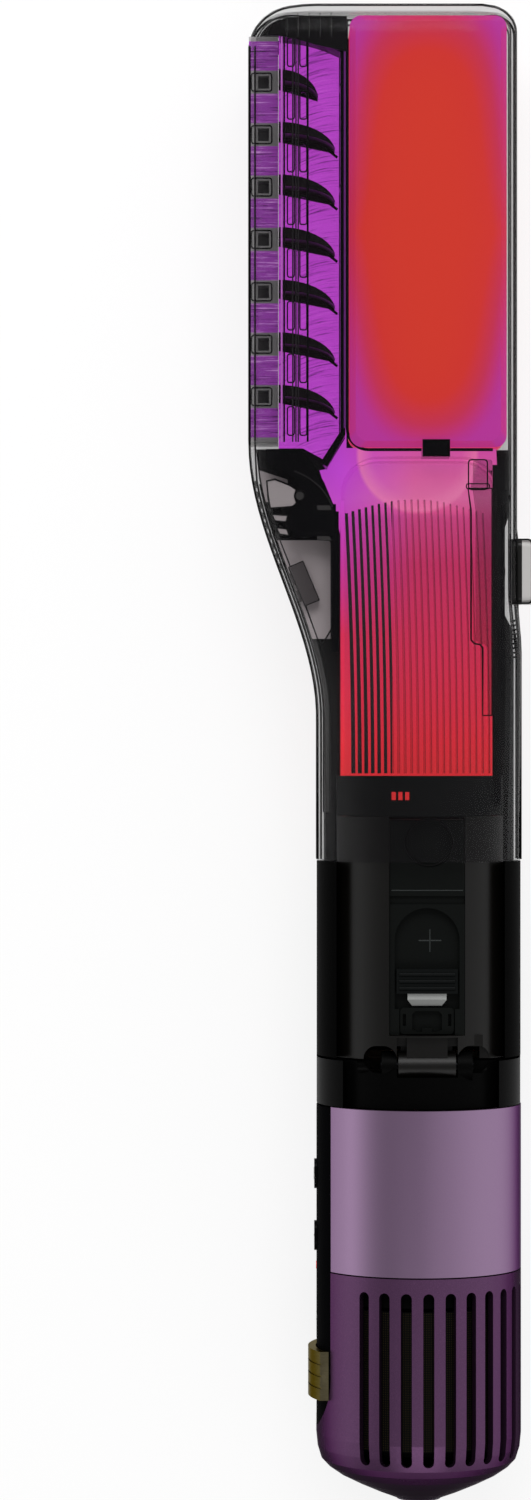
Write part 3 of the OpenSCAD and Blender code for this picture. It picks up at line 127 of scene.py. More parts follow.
# Opaque finishes that differ only in their values: colour, roughness, metal, and a fine grain whose size
# is in millimetres. The grain lets the tint through a little, and shine is the specular level. What a
# finish leaves out is as usual.
usualFinish = {
    "rough": 0.5, "metal": 0.0, "grain": 0.5, "bump": 0.03, "shine": 0.5, "spread": 0.06, "depth": 0.0001,
}
plainFinishes = {
    # injection-moulded ABS, spark-eroded texture: black, with one broad dull sheen along each flank
    "satinAbs": {
        "colour": "#040302", "tint": "#060504", "rough": 0.36, "shine": 0.22, "on": ["front_housing"],
    },
    # the same for the hinge, duller, so that it sinks into shadow
    "hingeAbs": {
        "colour": "#020202", "tint": "#050505", "rough": 0.42, "shine": 0.02, "on": ["hinge_bracket"],
    },
    # the same, finely etched on the control strip, so that only its signs catch the eye
    "etchedAbs": {
        "colour": "#020203", "tint": "#050506", "rough": 0.6, "grain": 0.3, "bump": 0.02, "shine": 0.002,
        "on": ["control_strip"],
    },
    # the same inside the base, where little light comes
    "deepAbs": {"colour": "#020202", "tint": "#040404", "rough": 0.6, "shine": 0.03, "on": ["base_frame"]},
    # moulded ABS with less gloss, a shade lighter than the housing
    "collarAbs": {"colour": "#070808", "tint": "#0c0d0d", "grain": 0.8, "shine": 0.1, "on": ["duct_collar"]},
    # soft-touch lacquer over ABS: deep black, almost no highlight
    "softTouchGrip": {
        "colour": "#010101", "tint": "#030303", "rough": 0.55, "grain": 0.35, "bump": 0.02, "shine": 0.006,
        "on": ["front_grip_panels", "rear_grip"],
    },
    # polished polycarbonate, black: small sharp highlights
    "pianoBlack": {
        "colour": "#050506", "tint": "#08080a", "rough": 0.1, "grain": 6.0, "bump": 0.0, "shine": 0.01,
        "on": ["corner_housing", "front_plate_clip", "button_bracket", "front_divider"],
    },
    # glass-filled nylon, moulded: matt charcoal with a green cast
    "charcoalNylon": {
        "colour": "#040605", "tint": "#080a09", "grain": 0.4, "bump": 0.05, "shine": 0.07,
        "on": ["lock_tray", "catch_clip", "slide_switch", "side_button_switch"],
    },
    # thermoplastic elastomer: dull dark purple
    "elastomerNose": {
        "colour": "#2a1d2b", "tint": "#33243a", "rough": 0.62, "grain": 0.4, "bump": 0.05, "shine": 0.3,
        "on": ["cord_gland"],
    },
    # moulded silicone: soft and dull
    "siliconeRubber": {
        "colour": "#26262a", "tint": "#2e2e33", "rough": 0.7, "bump": 0.05, "shine": 0.3,
        "on": ["motor_mounts"],
    },
    # die-cast aluminium, as cast: grey with a fine pebble
    "castAluminium": {
        "colour": "#8b8e93", "tint": "#a2a5aa", "rough": 0.45, "metal": 1.0, "grain": 0.6, "bump": 0.1,
        "on": ["motor_can", "diffuser"],
    },
    # enamelled copper wire, varnished: brown gloss over fine turns
    "enamelledCopper": {
        "colour": "#8a4f2c", "tint": "#b06a3a", "rough": 0.35, "metal": 1.0, "grain": 0.35, "bump": 0.3,
        "on": ["motor_stator"],
    },
    # ground and hardened steel: bright, with a fine lay
    "groundSteel": {
        "colour": "#a9acb0", "tint": "#c4c6ca", "rough": 0.22, "metal": 1.0, "grain": 0.3,
        "on": ["motor_shaft", "motor_bearings", "rear_plate_springs"],
    },
    # blackened steel screw: dark, with bright edges
    "blackenedSteel": {
        "colour": "#0b0b0c", "tint": "#141416", "rough": 0.35, "metal": 1.0, "grain": 0.3, "bump": 0.05,
        "on": ["neck_screws", "hinge_pin"],
    },
    # machined aluminium, satin: bright grey
    "machinedCatch": {
        "colour": "#8f918f", "tint": "#9b9d9b", "rough": 0.42, "metal": 0.3, "grain": 0.25, "bump": 0.04,
        "on": ["lock_catch"],
    },
    # moulded nylon, pale
    "paleNylon": {"colour": "#d5d7da", "tint": "#e2e3e5", "rough": 0.4, "on": ["impeller"]},
    # pressed mica sheet, browned by heat and flecked
    "micaSheet": {
        "colour": "#4d4331", "tint": "#62563f", "rough": 0.6, "grain": 1.2, "bump": 0.1, "shine": 0.4,
        "on": ["air_heater"],
    },
    # lacquered fibreglass board: green gloss over a faint weave
    "solderMask": {
        "colour": "#17492f", "tint": "#1f5b3a", "rough": 0.3, "grain": 1.0, "bump": 0.05,
        "on": ["main_board", "control_board"],
    },
    # sintered alumina: chalky off-white
    "alumina": {
        "colour": "#e6e1d8", "tint": "#f0ece4", "grain": 0.6, "bump": 0.05, "shine": 0.4,
        "on": ["front_plate_heater", "rear_plate_heater"],
    },
    # smoked polycarbonate vane, thick enough to read as black
    "smokedVane": {
        "colour": "#060606", "tint": "#121113", "rough": 0.3, "grain": 5.0, "bump": 0.02, "shine": 0.1,
        "on": ["front_turning_vanes", "rear_turning_vanes"],
    },
    # moulded ABS thumb pad, finely textured
    "thumbPadAbs": {
        "colour": "#050707", "tint": "#0a0c0c", "grain": 0.3, "bump": 0.1, "shine": 0.06,
        "on": ["lock_slider"],
    },
    # moulded ABS, warm grey
    "warmGreyAbs": {
        "colour": "#c3b7ba", "tint": "#cabfc2", "rough": 0.45, "grain": 0.6, "shine": 0.35,
        "on": ["wedge_panel"],
    },
    # the same in dark grey, for the connector
    "darkGreyAbs": {
        "colour": "#463f41", "tint": "#524b4d", "rough": 0.45, "shine": 0.35, "on": ["wire_connector"],
    },
    # polished polycarbonate key, black, under a printed sign
    "blackKey": {
        "colour": "#060607", "tint": "#0a0a0b", "rough": 0.22, "grain": 3.0, "bump": 0.0, "shine": 0.03,
        "on": ["temp_up_button", "temp_down_button"],
    },
}


def plainFinish(add, differences):
    look = {**usualFinish, **differences}
    grain = add("TexNoise", {
        "Scale": 1 / look["grain"], "Detail": 3.0, "Roughness": 0.6, "Vector": millimetres(add),
    })
    mix = add("Mix RGBA", {0: grain, 6: look["colour"], 7: look["tint"]})
    rough = add("MapRange", {
        "To Min": look["rough"] - look["spread"], "To Max": look["rough"] + look["spread"], "Value": grain,
    })
    bump = add("Bump", {"Strength": look["bump"], "Distance": look["depth"], "Height": grain})
    return add("BsdfPrincipled", {
        "Metallic": look["metal"], "Specular IOR Level": look["shine"], "Base Color": mix,
        "Roughness": rough, "Normal": bump,
    })


for finishName, finishLook in plainFinishes.items():
    dress(newMaterial(plainFinish, finishLook, name=finishName), *finishLook["on"])
print("plain finishes:", len(plainFinishes))

# Metals and lacquers of the base. Their grain is finer than a pixel here, so it is drawn a little coarse.
baseLook = {
    "bandColour": "#9a809e", "bandDeep": "#917695", "bandGrain": 0.16, "bandRough": 0.3,
    # the nose colour is painted shade, darker toward the cage's nose
    "cageColour": "#674768", "cageDeep": "#553a57", "noseShade": "#3c243d", "noseShadeFrom": 3.0, "noseShadeTo": 13.0,
    "cageFlake": 0.2, "cageRough": 0.36, "twillPitch": 0.5, "twillDark": "#030303", "twillCrown": "#2e2716",
    "filterRadius": 20.6, "goldDark": "#443e2c", "goldBright": "#787058", "goldRough": 0.3,
}


def anodisedLavender(add):
    # bead-blasted and anodised aluminium: soft bright bands along the tube, with a fine sparkle
    grain = add("TexNoise", {"Scale": 1 / baseLook["bandGrain"], "Detail": 2.0, "Vector": millimetres(add)})
    mix = add("Mix RGBA", {0: grain, 6: baseLook["bandDeep"], 7: baseLook["bandColour"]})
    bump = add("Bump", {"Strength": 0.05, "Distance": 0.00005, "Height": grain})
    return add("BsdfPrincipled", {
        "Metallic": 1.0, "Roughness": baseLook["bandRough"], "Specular Tint": "#5c4a5e", "Base Color": mix,
        "Normal": bump,
    })


def metallicPurpleLacquer(add):
    # metallic lacquer sprayed on moulded nylon: deep purple with fine flake
    where = millimetres(add)
    flake = add("TexVoronoi", {"Scale": 1 / baseLook["cageFlake"], "Vector": where})
    mix = add("Mix RGBA", {0: flake, 6: baseLook["cageDeep"], 7: baseLook["cageColour"]})
    # painted shade: the colour darkens toward the nose, below the slots
    axes = add("SeparateXYZ", {0: where}).outputs
    nose = add("MapRange", {
        "From Min": baseLook["noseShadeTo"], "From Max": baseLook["noseShadeFrom"], "Value": axes["Y"],
    })
    noseShaded = add("Mix RGBA", {0: nose, 6: mix, 7: baseLook["noseShade"]})
    return add("BsdfPrincipled", {
        "Metallic": 0.95, "Roughness": baseLook["cageRough"], "Specular Tint": "#4a394b",
        "Base Color": noseShaded,
    })


def twilledWireCloth(add):
    # blackened wire cloth in a twill: dark, with dull brassy crowns
    axes = add("SeparateXYZ", {0: millimetres(add)}).outputs
    around = add("Math ARCTAN2", {0: axes["X"], 1: axes["Z"]})
    unrolled = add("Math MULTIPLY", {0: around, 1: baseLook["filterRadius"]})
    crowns = []
    for sign in (1.0, -1.0):
        slant = add("Math MULTIPLY_ADD", {0: unrolled, 1: sign, 2: axes["Y"]})
        wave = add("Math MULTIPLY", {0: slant, 1: math.pi / baseLook["twillPitch"]})
        crowns.append(add("Math SINE", {0: wave}))
    both = add("Math MULTIPLY", {0: crowns[0], 1: crowns[1]})
    high = add("MapRange", {"From Min": 0.3, "From Max": 0.9, "Value": both})
    mix = add("Mix RGBA", {0: high, 6: baseLook["twillDark"], 7: baseLook["twillCrown"]})
    return add("BsdfPrincipled", {
        "Metallic": 0.5, "Roughness": 0.6, "Specular IOR Level": 0.1, "Base Color": mix,
    })


def brushedGoldAnodised(add):
    # brushed aluminium, anodised gold: streaks run round the base
    squeezed = add("Mapping", {"Scale": (0.6, 14.0, 0.6), "Vector": millimetres(add)})
    streak = add("TexNoise", {"Scale": 1.0, "Detail": 4.0, "Vector": squeezed})
    mix = add("Mix RGBA", {0: streak, 6: baseLook["goldDark"], 7: baseLook["goldBright"]})
    return add("BsdfPrincipled", {
        "Metallic": 1.0, "Roughness": baseLook["goldRough"], "Anisotropic": 0.4, "Specular Tint": "#a39b80",
        "Base Color": mix,
    })


def redAcrylicLens(add):
    # cast red acrylic over a lit diode: an even glow under gloss
    return add("BsdfPrincipled", {
        "Base Color": "#d8322c", "Roughness": 0.1, "Emission Color": "#e0302a", "Emission Strength": 0.35,
    })


dress(newMaterial(anodisedLavender), "band_sleeve")
dress(newMaterial(metallicPurpleLacquer), "inlet_cage")
dress(newMaterial(twilledWireCloth), "filter_sleeve")
dress(newMaterial(brushedGoldAnodised), "power_slider")
dress(newMaterial(redAcrylicLens), "indicator_lens")
print("base finishes done")

# Plates: red in the middle, magenta toward the corners, with a rolled rim painted brighter as a painted
# highlight.
# The colours are part paint and part glow; the glow is painted light that makes up for the shade under the
# casing.
plateLook = {
    "midX": 1.85, "midY": 277.85, "halfX": 17.15, "halfY": 47.15, "rough": 0.36, "rim": "#e0305a",
    "glow": 1.05, "paint": 0.42, "across": 0.42, "upper": 0.55, "lower": 0.88, "upperCorner": 0.5,
    "lowerCorner": 0.95,
    "stops": [
        (0.0, "#d63a2c"), (0.2, "#d43630"), (0.45, "#c83355"), (0.6, "#c4336f"), (0.8, "#bd348c"),
        (1.0, "#b9369a"),
    ],
}


def glazedHotCeramic(add):
    # ceramic glaze fired on aluminium: smooth and slightly glossy, its colour following the heat
    axes = add("SeparateXYZ", {0: millimetres(add)}).outputs
    u = add("MapRange", {
        "clamp": False, "From Min": plateLook["midX"], "From Max": plateLook["midX"] + plateLook["halfX"],
        "Value": axes["X"],
    })
    v = add("MapRange", {
        "clamp": False, "From Min": plateLook["midY"], "From Max": plateLook["midY"] + plateLook["halfY"],
        "Value": axes["Y"],
    })
    uSquare = add("Math MULTIPLY", {0: u, 1: u})
    vSize = add("Math ABSOLUTE", {0: v})
    uPart = add("Math POWER", {0: uSquare, 1: 2.0})
    vPart = add("Math POWER", {0: vSize, 1: 6.0})
    vWeight = add("MapRange", {
        "From Min": -1.0, "To Min": plateLook["lower"], "To Max": plateLook["upper"], "Value": v,
    })
    ends = add("Math MULTIPLY", {0: vPart, 1: vWeight})
    sides = add("Math MULTIPLY_ADD", {0: uPart, 1: plateLook["across"], 2: ends})
    cross = add("Math MULTIPLY", {0: uSquare, 1: vSize})
    cornerWeight = add("MapRange", {
        "From Min": -1.0, "To Min": plateLook["lowerCorner"], "To Max": plateLook["upperCorner"], "Value": v,
    })
    heat = add("Math MULTIPLY_ADD", {0: cross, 1: cornerWeight, 2: sides})
    ramp = add("ValToRGB", {"stops": plateLook["stops"], 0: heat})
    slope = add("NewGeometry")
    slopeParts = add("SeparateXYZ", {0: slope.outputs["True Normal"]})
    # painted highlight on the rolled rim: sloping faces take the brighter rim colour
    facesUp = add("Math ABSOLUTE", {0: slopeParts.outputs["Z"]})
    rim = add("MapRange", {"From Min": 0.8, "From Max": 0.45, "Value": facesUp})
    mix = add("Mix RGBA", {0: rim, 6: ramp, 7: plateLook["rim"]})
    # the paint is dimmed, as the glow, which is painted light, gives the rest of the colour
    dimmedPaint = add("HueSaturation", {"Value": plateLook["paint"], "Color": mix})
    return add("BsdfPrincipled", {
        "Roughness": plateLook["rough"], "Specular IOR Level": 0.06, "Emission Strength": plateLook["glow"],
        "Base Color": dimmedPaint, "Emission Color": mix,
    })


dress(newMaterial(glazedHotCeramic), "front_plate", "rear_plate")
print("plates done")

# The air path is clear plastic. Its floor shows the coloured air: red at the heater, magenta at the vents.
# Its glow is painted light that makes up for the shade inside the closed duct.
airLook = {
    "low": 151.0, "high": 231.0, "magenta": "#b541c5", "deepMagenta": "#4e175b", "paleMagenta": "#c356cf",
    "stops": [
        (0.0, "#c5302e"), (0.19, "#d22e3c"), (0.44, "#cc3053"), (0.68, "#c03263"), (0.8, "#c6437f"),
        (0.86, "#d2639a"), (0.92, "#cc5295"), (1.0, "#c24aa0"),
    ],
    "glow": 1.32, "paint": 0.46, "floorTop": 2.9, "finFoot": 3.45, "fin": "#30272a", "wallHaze": 0.03,
    # the dome's place, size and colour below are for a painted highlight
    "thinFinsFrom": -6.0, "thinFinHaze": 0.42, "domeX": -0.3, "domeY": 229.5, "domeWide": 13.6,
    "domeTall": 13.2, "domeHighlight": "#e07ba8", "bendAt": -17.5, "bend": 0.028,
}


def airColour(add, axes):
    along = add("MapRange", {"From Min": airLook["low"], "From Max": airLook["high"], "Value": axes["Y"]})
    ramp = add("ValToRGB", {"stops": airLook["stops"], 0: along})
    leftward = add("MapRange", {"From Min": -1.0, "From Max": -17.0, "Value": axes["X"]})
    upward = add("MapRange", {"From Min": 190.0, "From Max": 226.0, "Value": axes["Y"]})
    turn = add("Math MULTIPLY", {0: leftward, 1: upward})
    turned = add("Mix RGBA", {0: turn, 6: ramp, 7: airLook["magenta"]})
    # painted highlight on the outlet's dome, strongest along its lower edge
    squares = []
    for axis, middle, half in (("X", "domeX", "domeWide"), ("Y", "domeY", "domeTall")):
        share = add("MapRange", {
            "clamp": False, "From Min": airLook[middle], "From Max": airLook[middle] + airLook[half],
            "Value": axes[axis],
        })
        squares.append(add("Math POWER", {0: share, 1: 2.0}))
    reach = add("Math ADD", {0: squares[0], 1: squares[1]})
    dome = add("ValToRGB", {
        "stops": [(0.0, "#6a6a6a"), (0.5, "#6a6a6a"), (0.88, "#d8d8d8"), (1.0, "#000000")], 0: reach,
    })
    return add("Mix RGBA", {0: dome, 6: turned, 7: airLook["domeHighlight"]})


def streakColour(add, axes):
    # streaks of flow that bend from the divider round to the windows, about 0.3 mm apart
    bent = add("Math ADD", {0: axes["X"], 1: -airLook["bendAt"]})
    square = add("Math MULTIPLY", {0: bent, 1: bent})
    line = add("Math MULTIPLY_ADD", {0: square, 1: airLook["bend"], 2: axes["Y"]})
    flow = add("CombineXYZ", {"X": line, "Y": bent})
    thin = add("Mapping", {"Scale": (3.2, 0.1, 1.0), "Vector": flow})
    streak = add("TexNoise", {"Scale": 1.0, "Detail": 5.0, "Roughness": 0.62, "Vector": thin})
    return add("ValToRGB", {"stops": [
        (0.3, airLook["paleMagenta"]), (0.42, airLook["magenta"]), (0.53, airLook["magenta"]),
        (0.68, airLook["deepMagenta"]),
    ], 0: streak})


def blowMoulded(add, streaked):
    # blow-moulded clear plastic: the floor holds the colour, and the rest is see-through
    axes = add("SeparateXYZ", {0: millimetres(add)}).outputs
    height = add("Math ABSOLUTE", {0: axes["Z"]})
    onFloor = add("Math LESS_THAN", {0: height, 1: airLook["floorTop"]})
    colour = streakColour(add, axes) if streaked else airColour(add, axes)
    deeper = add("HueSaturation", {"Value": airLook["paint"], "Color": colour})
    lit = add("BsdfPrincipled", {
        "Roughness": 0.4, "Specular IOR Level": 0.2, "Emission Strength": airLook["glow"],
        "Base Color": deeper, "Emission Color": colour,
    })
    edge = add("LayerWeight", {"Blend": 0.3})
    haze = add("MapRange", {
        "From Min": 0.3, "From Max": 1.0, "To Min": airLook["wallHaze"], "To Max": 0.6,
        "Value": edge.outputs["Facing"],
    })
    clear = add("BsdfPrincipled", {"Base Color": "#4a2438", "Roughness": 0.12, "Alpha": haze})
    return add("MixShader", {0: onFloor, 1: clear, 2: lit})


def smokedGuideFins(add):
    # moulded fins of smoked plastic, on a foot that shows the air's colour
    where = millimetres(add)
    axes = add("SeparateXYZ", {0: where}).outputs
    height = add("Math ABSOLUTE", {0: axes["Z"]})
    isFin = add("Math GREATER_THAN", {0: height, 1: airLook["finFoot"]})
    colour = airColour(add, axes)
    deeper = add("HueSaturation", {"Value": airLook["paint"], "Color": colour})
    mix = add("Mix RGBA", {0: isFin, 6: deeper, 7: airLook["fin"]})
    lit = add("Mix RGBA", {0: isFin, 6: colour, 7: "#0b0809"})
    # the fins thin out toward the right, and the air's colour comes through them
    rightward = add("Math GREATER_THAN", {0: axes["X"], 1: airLook["thinFinsFrom"]})
    thin = add("Math MULTIPLY", {0: rightward, 1: isFin})
    haze = add("MapRange", {"To Min": 1.0, "To Max": airLook["thinFinHaze"], "Value": thin})
    return add("BsdfPrincipled", {
        "Roughness": 0.45, "Specular IOR Level": 0.15, "Emission Strength": airLook["glow"],
        "Base Color": mix, "Emission Color": lit, "Alpha": haze,
    })


ductPlastic = newMaterial(blowMoulded, False, name="blowMouldedDuct")
channelPlastic = newMaterial(blowMoulded, True, name="blowMouldedChannel")
dress(ductPlastic, "front_duct", "rear_duct")
dress(channelPlastic, "front_air_channel", "rear_air_channel")
dress(newMaterial(smokedGuideFins), "front_guide_fins")
print("air path done")

# Smoked polycarbonate: each wall takes away some light, and more where it is seen edge-on. The casing is
# nearly clear and the panel nearly black.
casingLook = {
    "casing": {"smoke": "#161517", "facing": 0.19, "edge": 0.3, "rough": 0.06, "shine": 0.1, "on": [
        "front_cover", "rear_cover",
    ]},
    "panel": {"smoke": "#0d0d0d", "facing": 0.94, "edge": 0.98, "rough": 0.4, "shine": 0.08, "on": [
        "front_inner_panel", "rear_inner_panel",
    ]},
    "sensor": {
        "smoke": "#2a1c22", "facing": 0.22, "edge": 0.8, "rough": 0.1, "shine": 0.3, "on": ["sensor_strip"],
    },
}


def smokedPolycarbonate(add, look):
    # injection-moulded polycarbonate with a smoke tint
    weight = add("LayerWeight", {"Blend": 0.3})
    haze = add("MapRange", {
        "From Min": 0.55, "From Max": 1.0, "To Min": look["facing"], "To Max": look["edge"],
        "Value": weight.outputs["Facing"],
    })
    return add("BsdfPrincipled", {
        "Base Color": look["smoke"], "Roughness": look["rough"], "IOR": 1.58,
        "Specular IOR Level": look["shine"], "Alpha": haze,
    })


for finishName, finishLook in casingLook.items():
    clear = newMaterial(smokedPolycarbonate, finishLook, name=finishName + "Polycarbonate")
    dress(clear, *finishLook["on"])

# The grille is smoked grey, and lit magenta across by the jets in the eight windows.
grilleLook = {
    "top": 316.1, "pitch": 11.44, "tall": 6.4, "grey": "#838182", "jet": "#8f3aa2", "pale": "#cf93da",
    "lip": "#b8b5b6", "lipX": -35.7, "soft": 0.012,
}


def litLouvre(add):
    # moulded polycarbonate louvre, smoked, carrying the colour of the air that leaves it
    where = millimetres(add)
    axes = add("SeparateXYZ", {0: where}).outputs
    start = grilleLook["top"] + grilleLook["pitch"] / 2
    below = add("Math SUBTRACT", {0: start, 1: axes["Y"]})
    turns = add("Math DIVIDE", {0: below, 1: grilleLook["pitch"]})
    inTurn = add("Math FRACT", {0: turns})
    off = add("Math SUBTRACT", {0: inTurn, 1: 0.5})
    away = add("Math ABSOLUTE", {0: off})
    half = grilleLook["tall"] / 2 / grilleLook["pitch"]
    inJet = add("MapRange", {
        "From Min": half + grilleLook["soft"], "From Max": half - grilleLook["soft"], "Value": away,
    })
    thin = add("Mapping", {"Scale": (0.12, 2.6, 0.1), "Vector": where})
    streak = add("TexNoise", {"Scale": 1.0, "Detail": 4.0, "Roughness": 0.65, "Vector": thin})
    jet = add("ValToRGB", {"stops": [
        (0.32, "#2c1133"), (0.44, grilleLook["jet"]), (0.56, grilleLook["jet"]), (0.68, grilleLook["pale"]),
    ], 0: streak})
    onLip = add("Math LESS_THAN", {0: axes["X"], 1: grilleLook["lipX"]})
    plain = add("Mix RGBA", {0: onLip, 6: grilleLook["grey"], 7: grilleLook["lip"]})
    mix = add("Mix RGBA", {0: inJet, 6: plain, 7: jet})
    light = add("Mix RGBA", {0: inJet, 6: "#000000", 7: jet})
    weight = add("LayerWeight", {"Blend": 0.3})
    haze = add("MapRange", {
        "From Min": 0.2, "From Max": 1.0, "To Min": 0.96, "To Max": 1.0, "Value": weight.outputs["Facing"],
    })
    return add("BsdfPrincipled", {
        "Roughness": 0.3, "Specular IOR Level": 0.2, "Emission Strength": 0.35, "Base Color": mix,
        "Emission Color": light, "Alpha": haze,
    })


# The side button is one moulding: pearl white where the finger is, smoked where it passes the wall.
buttonLook = {"pearl": "#b5b3b1", "smoke": "#161514", "wallX": 22.35}


def twoShotButton(add):
    # two-shot polycarbonate, polished
    where = millimetres(add)
    axes = add("SeparateXYZ", {0: where}).outputs
    outside = add("Math GREATER_THAN", {0: axes["X"], 1: buttonLook["wallX"]})
    mix = add("Mix RGBA", {0: outside, 6: buttonLook["smoke"], 7: buttonLook["pearl"]})
    return add("BsdfPrincipled", {"Roughness": 0.3, "Specular IOR Level": 0.2, "Base Color": mix})


dress(newMaterial(litLouvre), "front_outlet_grille", "rear_outlet_grille")
dress(newMaterial(twoShotButton), "side_button")
print("casing done")

# Lines of the casing. Clear plastic gathers the dark of its own edges, so each edge, rib and window frame
# reads as a thin black line: the black beads along those edges are painted shade that stands for that dark.
# A flare or waist is its depth, where it starts and how long it takes; a notch is where the wall rises,
# where it falls and how softly.
edgeLook = {
    "outer": 0.28, "inner": 0.2, "fine": 0.15, "outInset": 0.14, "inInset": 1.35, "rimZ": 3.0, "headZ": 9.4,
    "notchZ": 7.4, "gripTop": 140.7, "headTop": 327.0, "side": 22.4, "leftFlare": (14.9, 172, 60),
    "rightWaist": (1.0, 186, 14), "leftTurn": (318, 9), "rightTurn": (322, 5), "leftArc": (172, 90, 9),
    "rightArc": (90, 8, 7), "ventNotch": (229.9, 322.2, 1.6), "buttonNotch": (194.6, 212.6, 1.4),
    "sideSteps": 60, "headSteps": 16, "headRise": (-35, 12), "headFall": (21, 8), "leftSlack": (228, 4),
    "rightSlack": (192, 6), "bow": (0.3, 0.25),
}


def plainColour(add, colour, rough, shine, glow=0.0):
    # polished bead of one colour: black where it is painted shade along an edge, or a printed mark
    grain = add("TexNoise", {"Scale": 2.0, "Detail": 2.0, "Vector": millimetres(add)})
    even = add("MapRange", {"To Min": 0.85, "To Max": 1.0, "Value": grain})
    shade = add("HueSaturation", {"Color": colour, "Value": even})
    return add("BsdfPrincipled", {
        "Roughness": rough, "Specular IOR Level": shine, "Emission Color": colour, "Emission Strength": glow,
        "Base Color": shade,
    })


# black: painted shade along the casing's edges, ribs and window frames, and small black parts
blackPartsAndEdgeShade = newMaterial(plainColour, "#040404", 0.35, 0.08, name="blackPartsAndEdgeShade")
beadSmoke = newMaterial(plainColour, "#2b292a", 0.35, 0.15, name="beadSmoke")
beadMagenta = newMaterial(plainColour, "#c76fd0", 0.4, 0.2, 0.3, name="beadMagenta")
beadViolet = newMaterial(plainColour, "#6a2a7c", 0.4, 0.1, 0.3, name="beadViolet")
printedWhite = newMaterial(plainColour, "#d8d8d6", 0.5, 0.2, name="printedWhite")
# grey for the moulded plus, and for the painted highlight along the tray's seam
greyMarkAndHighlight = newMaterial(plainColour, "#232726", 0.5, 0.2, name="greyMarkAndHighlight")


def smoothStep(t):
    t = min(1.0, max(0.0, t))
    return t * t * (3 - 2 * t)


def slackBelow(y, level, soft):
    return smoothStep((level - y) / soft)


def leftEdge(y, inset=0.0):
    depth, start, length = edgeLook["leftFlare"]
    return -edgeLook["side"] - depth * smoothStep((y - start) / length) + inset


def rightEdge(y, inset=0.0):
    depth, start, length = edgeLook["rightWaist"]
    return edgeLook["side"] - depth * smoothStep((y - start) / length) - inset


def arc(x, y, z, radius, first, last, steps):
    points = []
    for step in range(steps + 1):
        angle = math.radians(first + (last - first) * step / steps)
        points.append((x + radius * math.cos(angle), y + radius * math.sin(angle), z))
    return points


def overHead(x):
    # the end wall's top edge, as it comes up from the two corners
    rises, riseLength = edgeLook["headRise"]
    falls, fallLength = edgeLook["headFall"]
    rise = smoothStep((x - rises) / riseLength) * smoothStep((falls - x) / fallLength)
    return edgeLook["rimZ"] + (edgeLook["headZ"] - edgeLook["rimZ"]) * rise


def overNotch(y, rises, falls, soft):
    rise = min(smoothStep((y - rises) / soft), smoothStep((falls - y) / soft))
    return edgeLook["rimZ"] + (edgeLook["notchZ"] - edgeLook["rimZ"]) * rise


def overVents(y):
    return overNotch(y, *edgeLook["ventNotch"])


def overButton(y):
    return overNotch(y, *edgeLook["buttonNotch"])


def flat(along):
    # the same height all along
    return edgeLook["rimZ"]


def contour(inset, heightLeft, heightRight, heightTop, dip=0.0, leftSlack=0.0, rightSlack=0.0):
    # from the grip up the left side, over the head and down the right side
    low = edgeLook["gripTop"]
    steps = edgeLook["sideSteps"]
    leftTop, leftTurn = edgeLook["leftTurn"]
    rightTop, rightTurn = edgeLook["rightTurn"]
    bowRise, bowFall = edgeLook["bow"]
    leftX = leftEdge(leftTop) + leftTurn
    rightX = rightEdge(rightTop) - rightTurn
    leftSide = []
    for step in range(steps + 1):
        y = low + (leftTop - low) * step / steps
        nearer = leftSlack * slackBelow(y, *edgeLook["leftSlack"])
        leftSide.append((leftEdge(y, inset - nearer), y, heightLeft(y)))
    head = arc(leftX, leftTop, 0, leftTurn - inset, *edgeLook["leftArc"])
    for step in range(1, edgeLook["headSteps"]):
        share = step / edgeLook["headSteps"]
        bow = smoothStep(share / bowRise) * smoothStep((1 - share) / bowFall)
        head.append((leftX + (rightX - leftX) * share, edgeLook["headTop"] - inset - dip * bow, 0))
    head += arc(rightX, rightTop, 0, rightTurn - inset, *edgeLook["rightArc"])
    rightSide = []
    for step in range(steps + 1):
        y = rightTop + (low - rightTop) * step / steps
        nearer = rightSlack * slackBelow(y, *edgeLook["rightSlack"])
        rightSide.append((rightEdge(y, inset - nearer), y, heightRight(y)))
    return leftSide + [(x, y, heightTop(x)) for x, y, z in head] + rightSide


def lineMesh(name, paths, closed=False):
    points = []
    edges = []
    for path in paths:
        first = len(points)
        points += [place(*point) for point in path]
        edges += [(first + k, first + k + 1) for k in range(len(path) - 1)]
        if closed:
            edges.append((len(points) - 1, first))
    mesh = bpy.data.meshes.new(name)
    mesh.from_pydata(points, edges, [])
    return mesh


def newObject(name, data):
    thing = bpy.data.objects.new(name, data)
    scene.collection.objects.link(thing)
    return thing


def newGroup(build, name, sockets):
    # the function that builds the tree returns its shape, which gets its finish here
    tree = bpy.data.node_groups.new(name, "GeometryNodeTree")
    tree.is_modifier = True
    tree.interface.new_socket("Geometry", in_out="INPUT", socket_type="NodeSocketGeometry")
    for label, kind in {**sockets, "Finish": "Material"}.items():
        tree.interface.new_socket(label, in_out="INPUT", socket_type="NodeSocket" + kind)
    tree.interface.new_socket("Geometry", in_out="OUTPUT", socket_type="NodeSocketGeometry")
    given = tree.nodes.new("NodeGroupInput").outputs
    add = adder(tree)
    real = add("RealizeInstances", {"Geometry": build(add, given)})
    painted = add("SetMaterial", {"Geometry": real, "Material": given["Finish"]})
    add("NodeGroupOutput", {0: painted})
    return tree


def beadTree(add, given):
    # a round bead along every line of the mesh that it is given
    line = add("MeshToCurve", {"Mesh": given["Geometry"]})
    ring = add("CurvePrimitiveCircle", {"Resolution": given["Facets"], "Radius": given["Bead radius"]})
    tube = add("CurveToMesh", {"Fill Caps": True, "Curve": line, "Profile Curve": ring})
    return add("SetShadeSmooth", {"Geometry": tube})


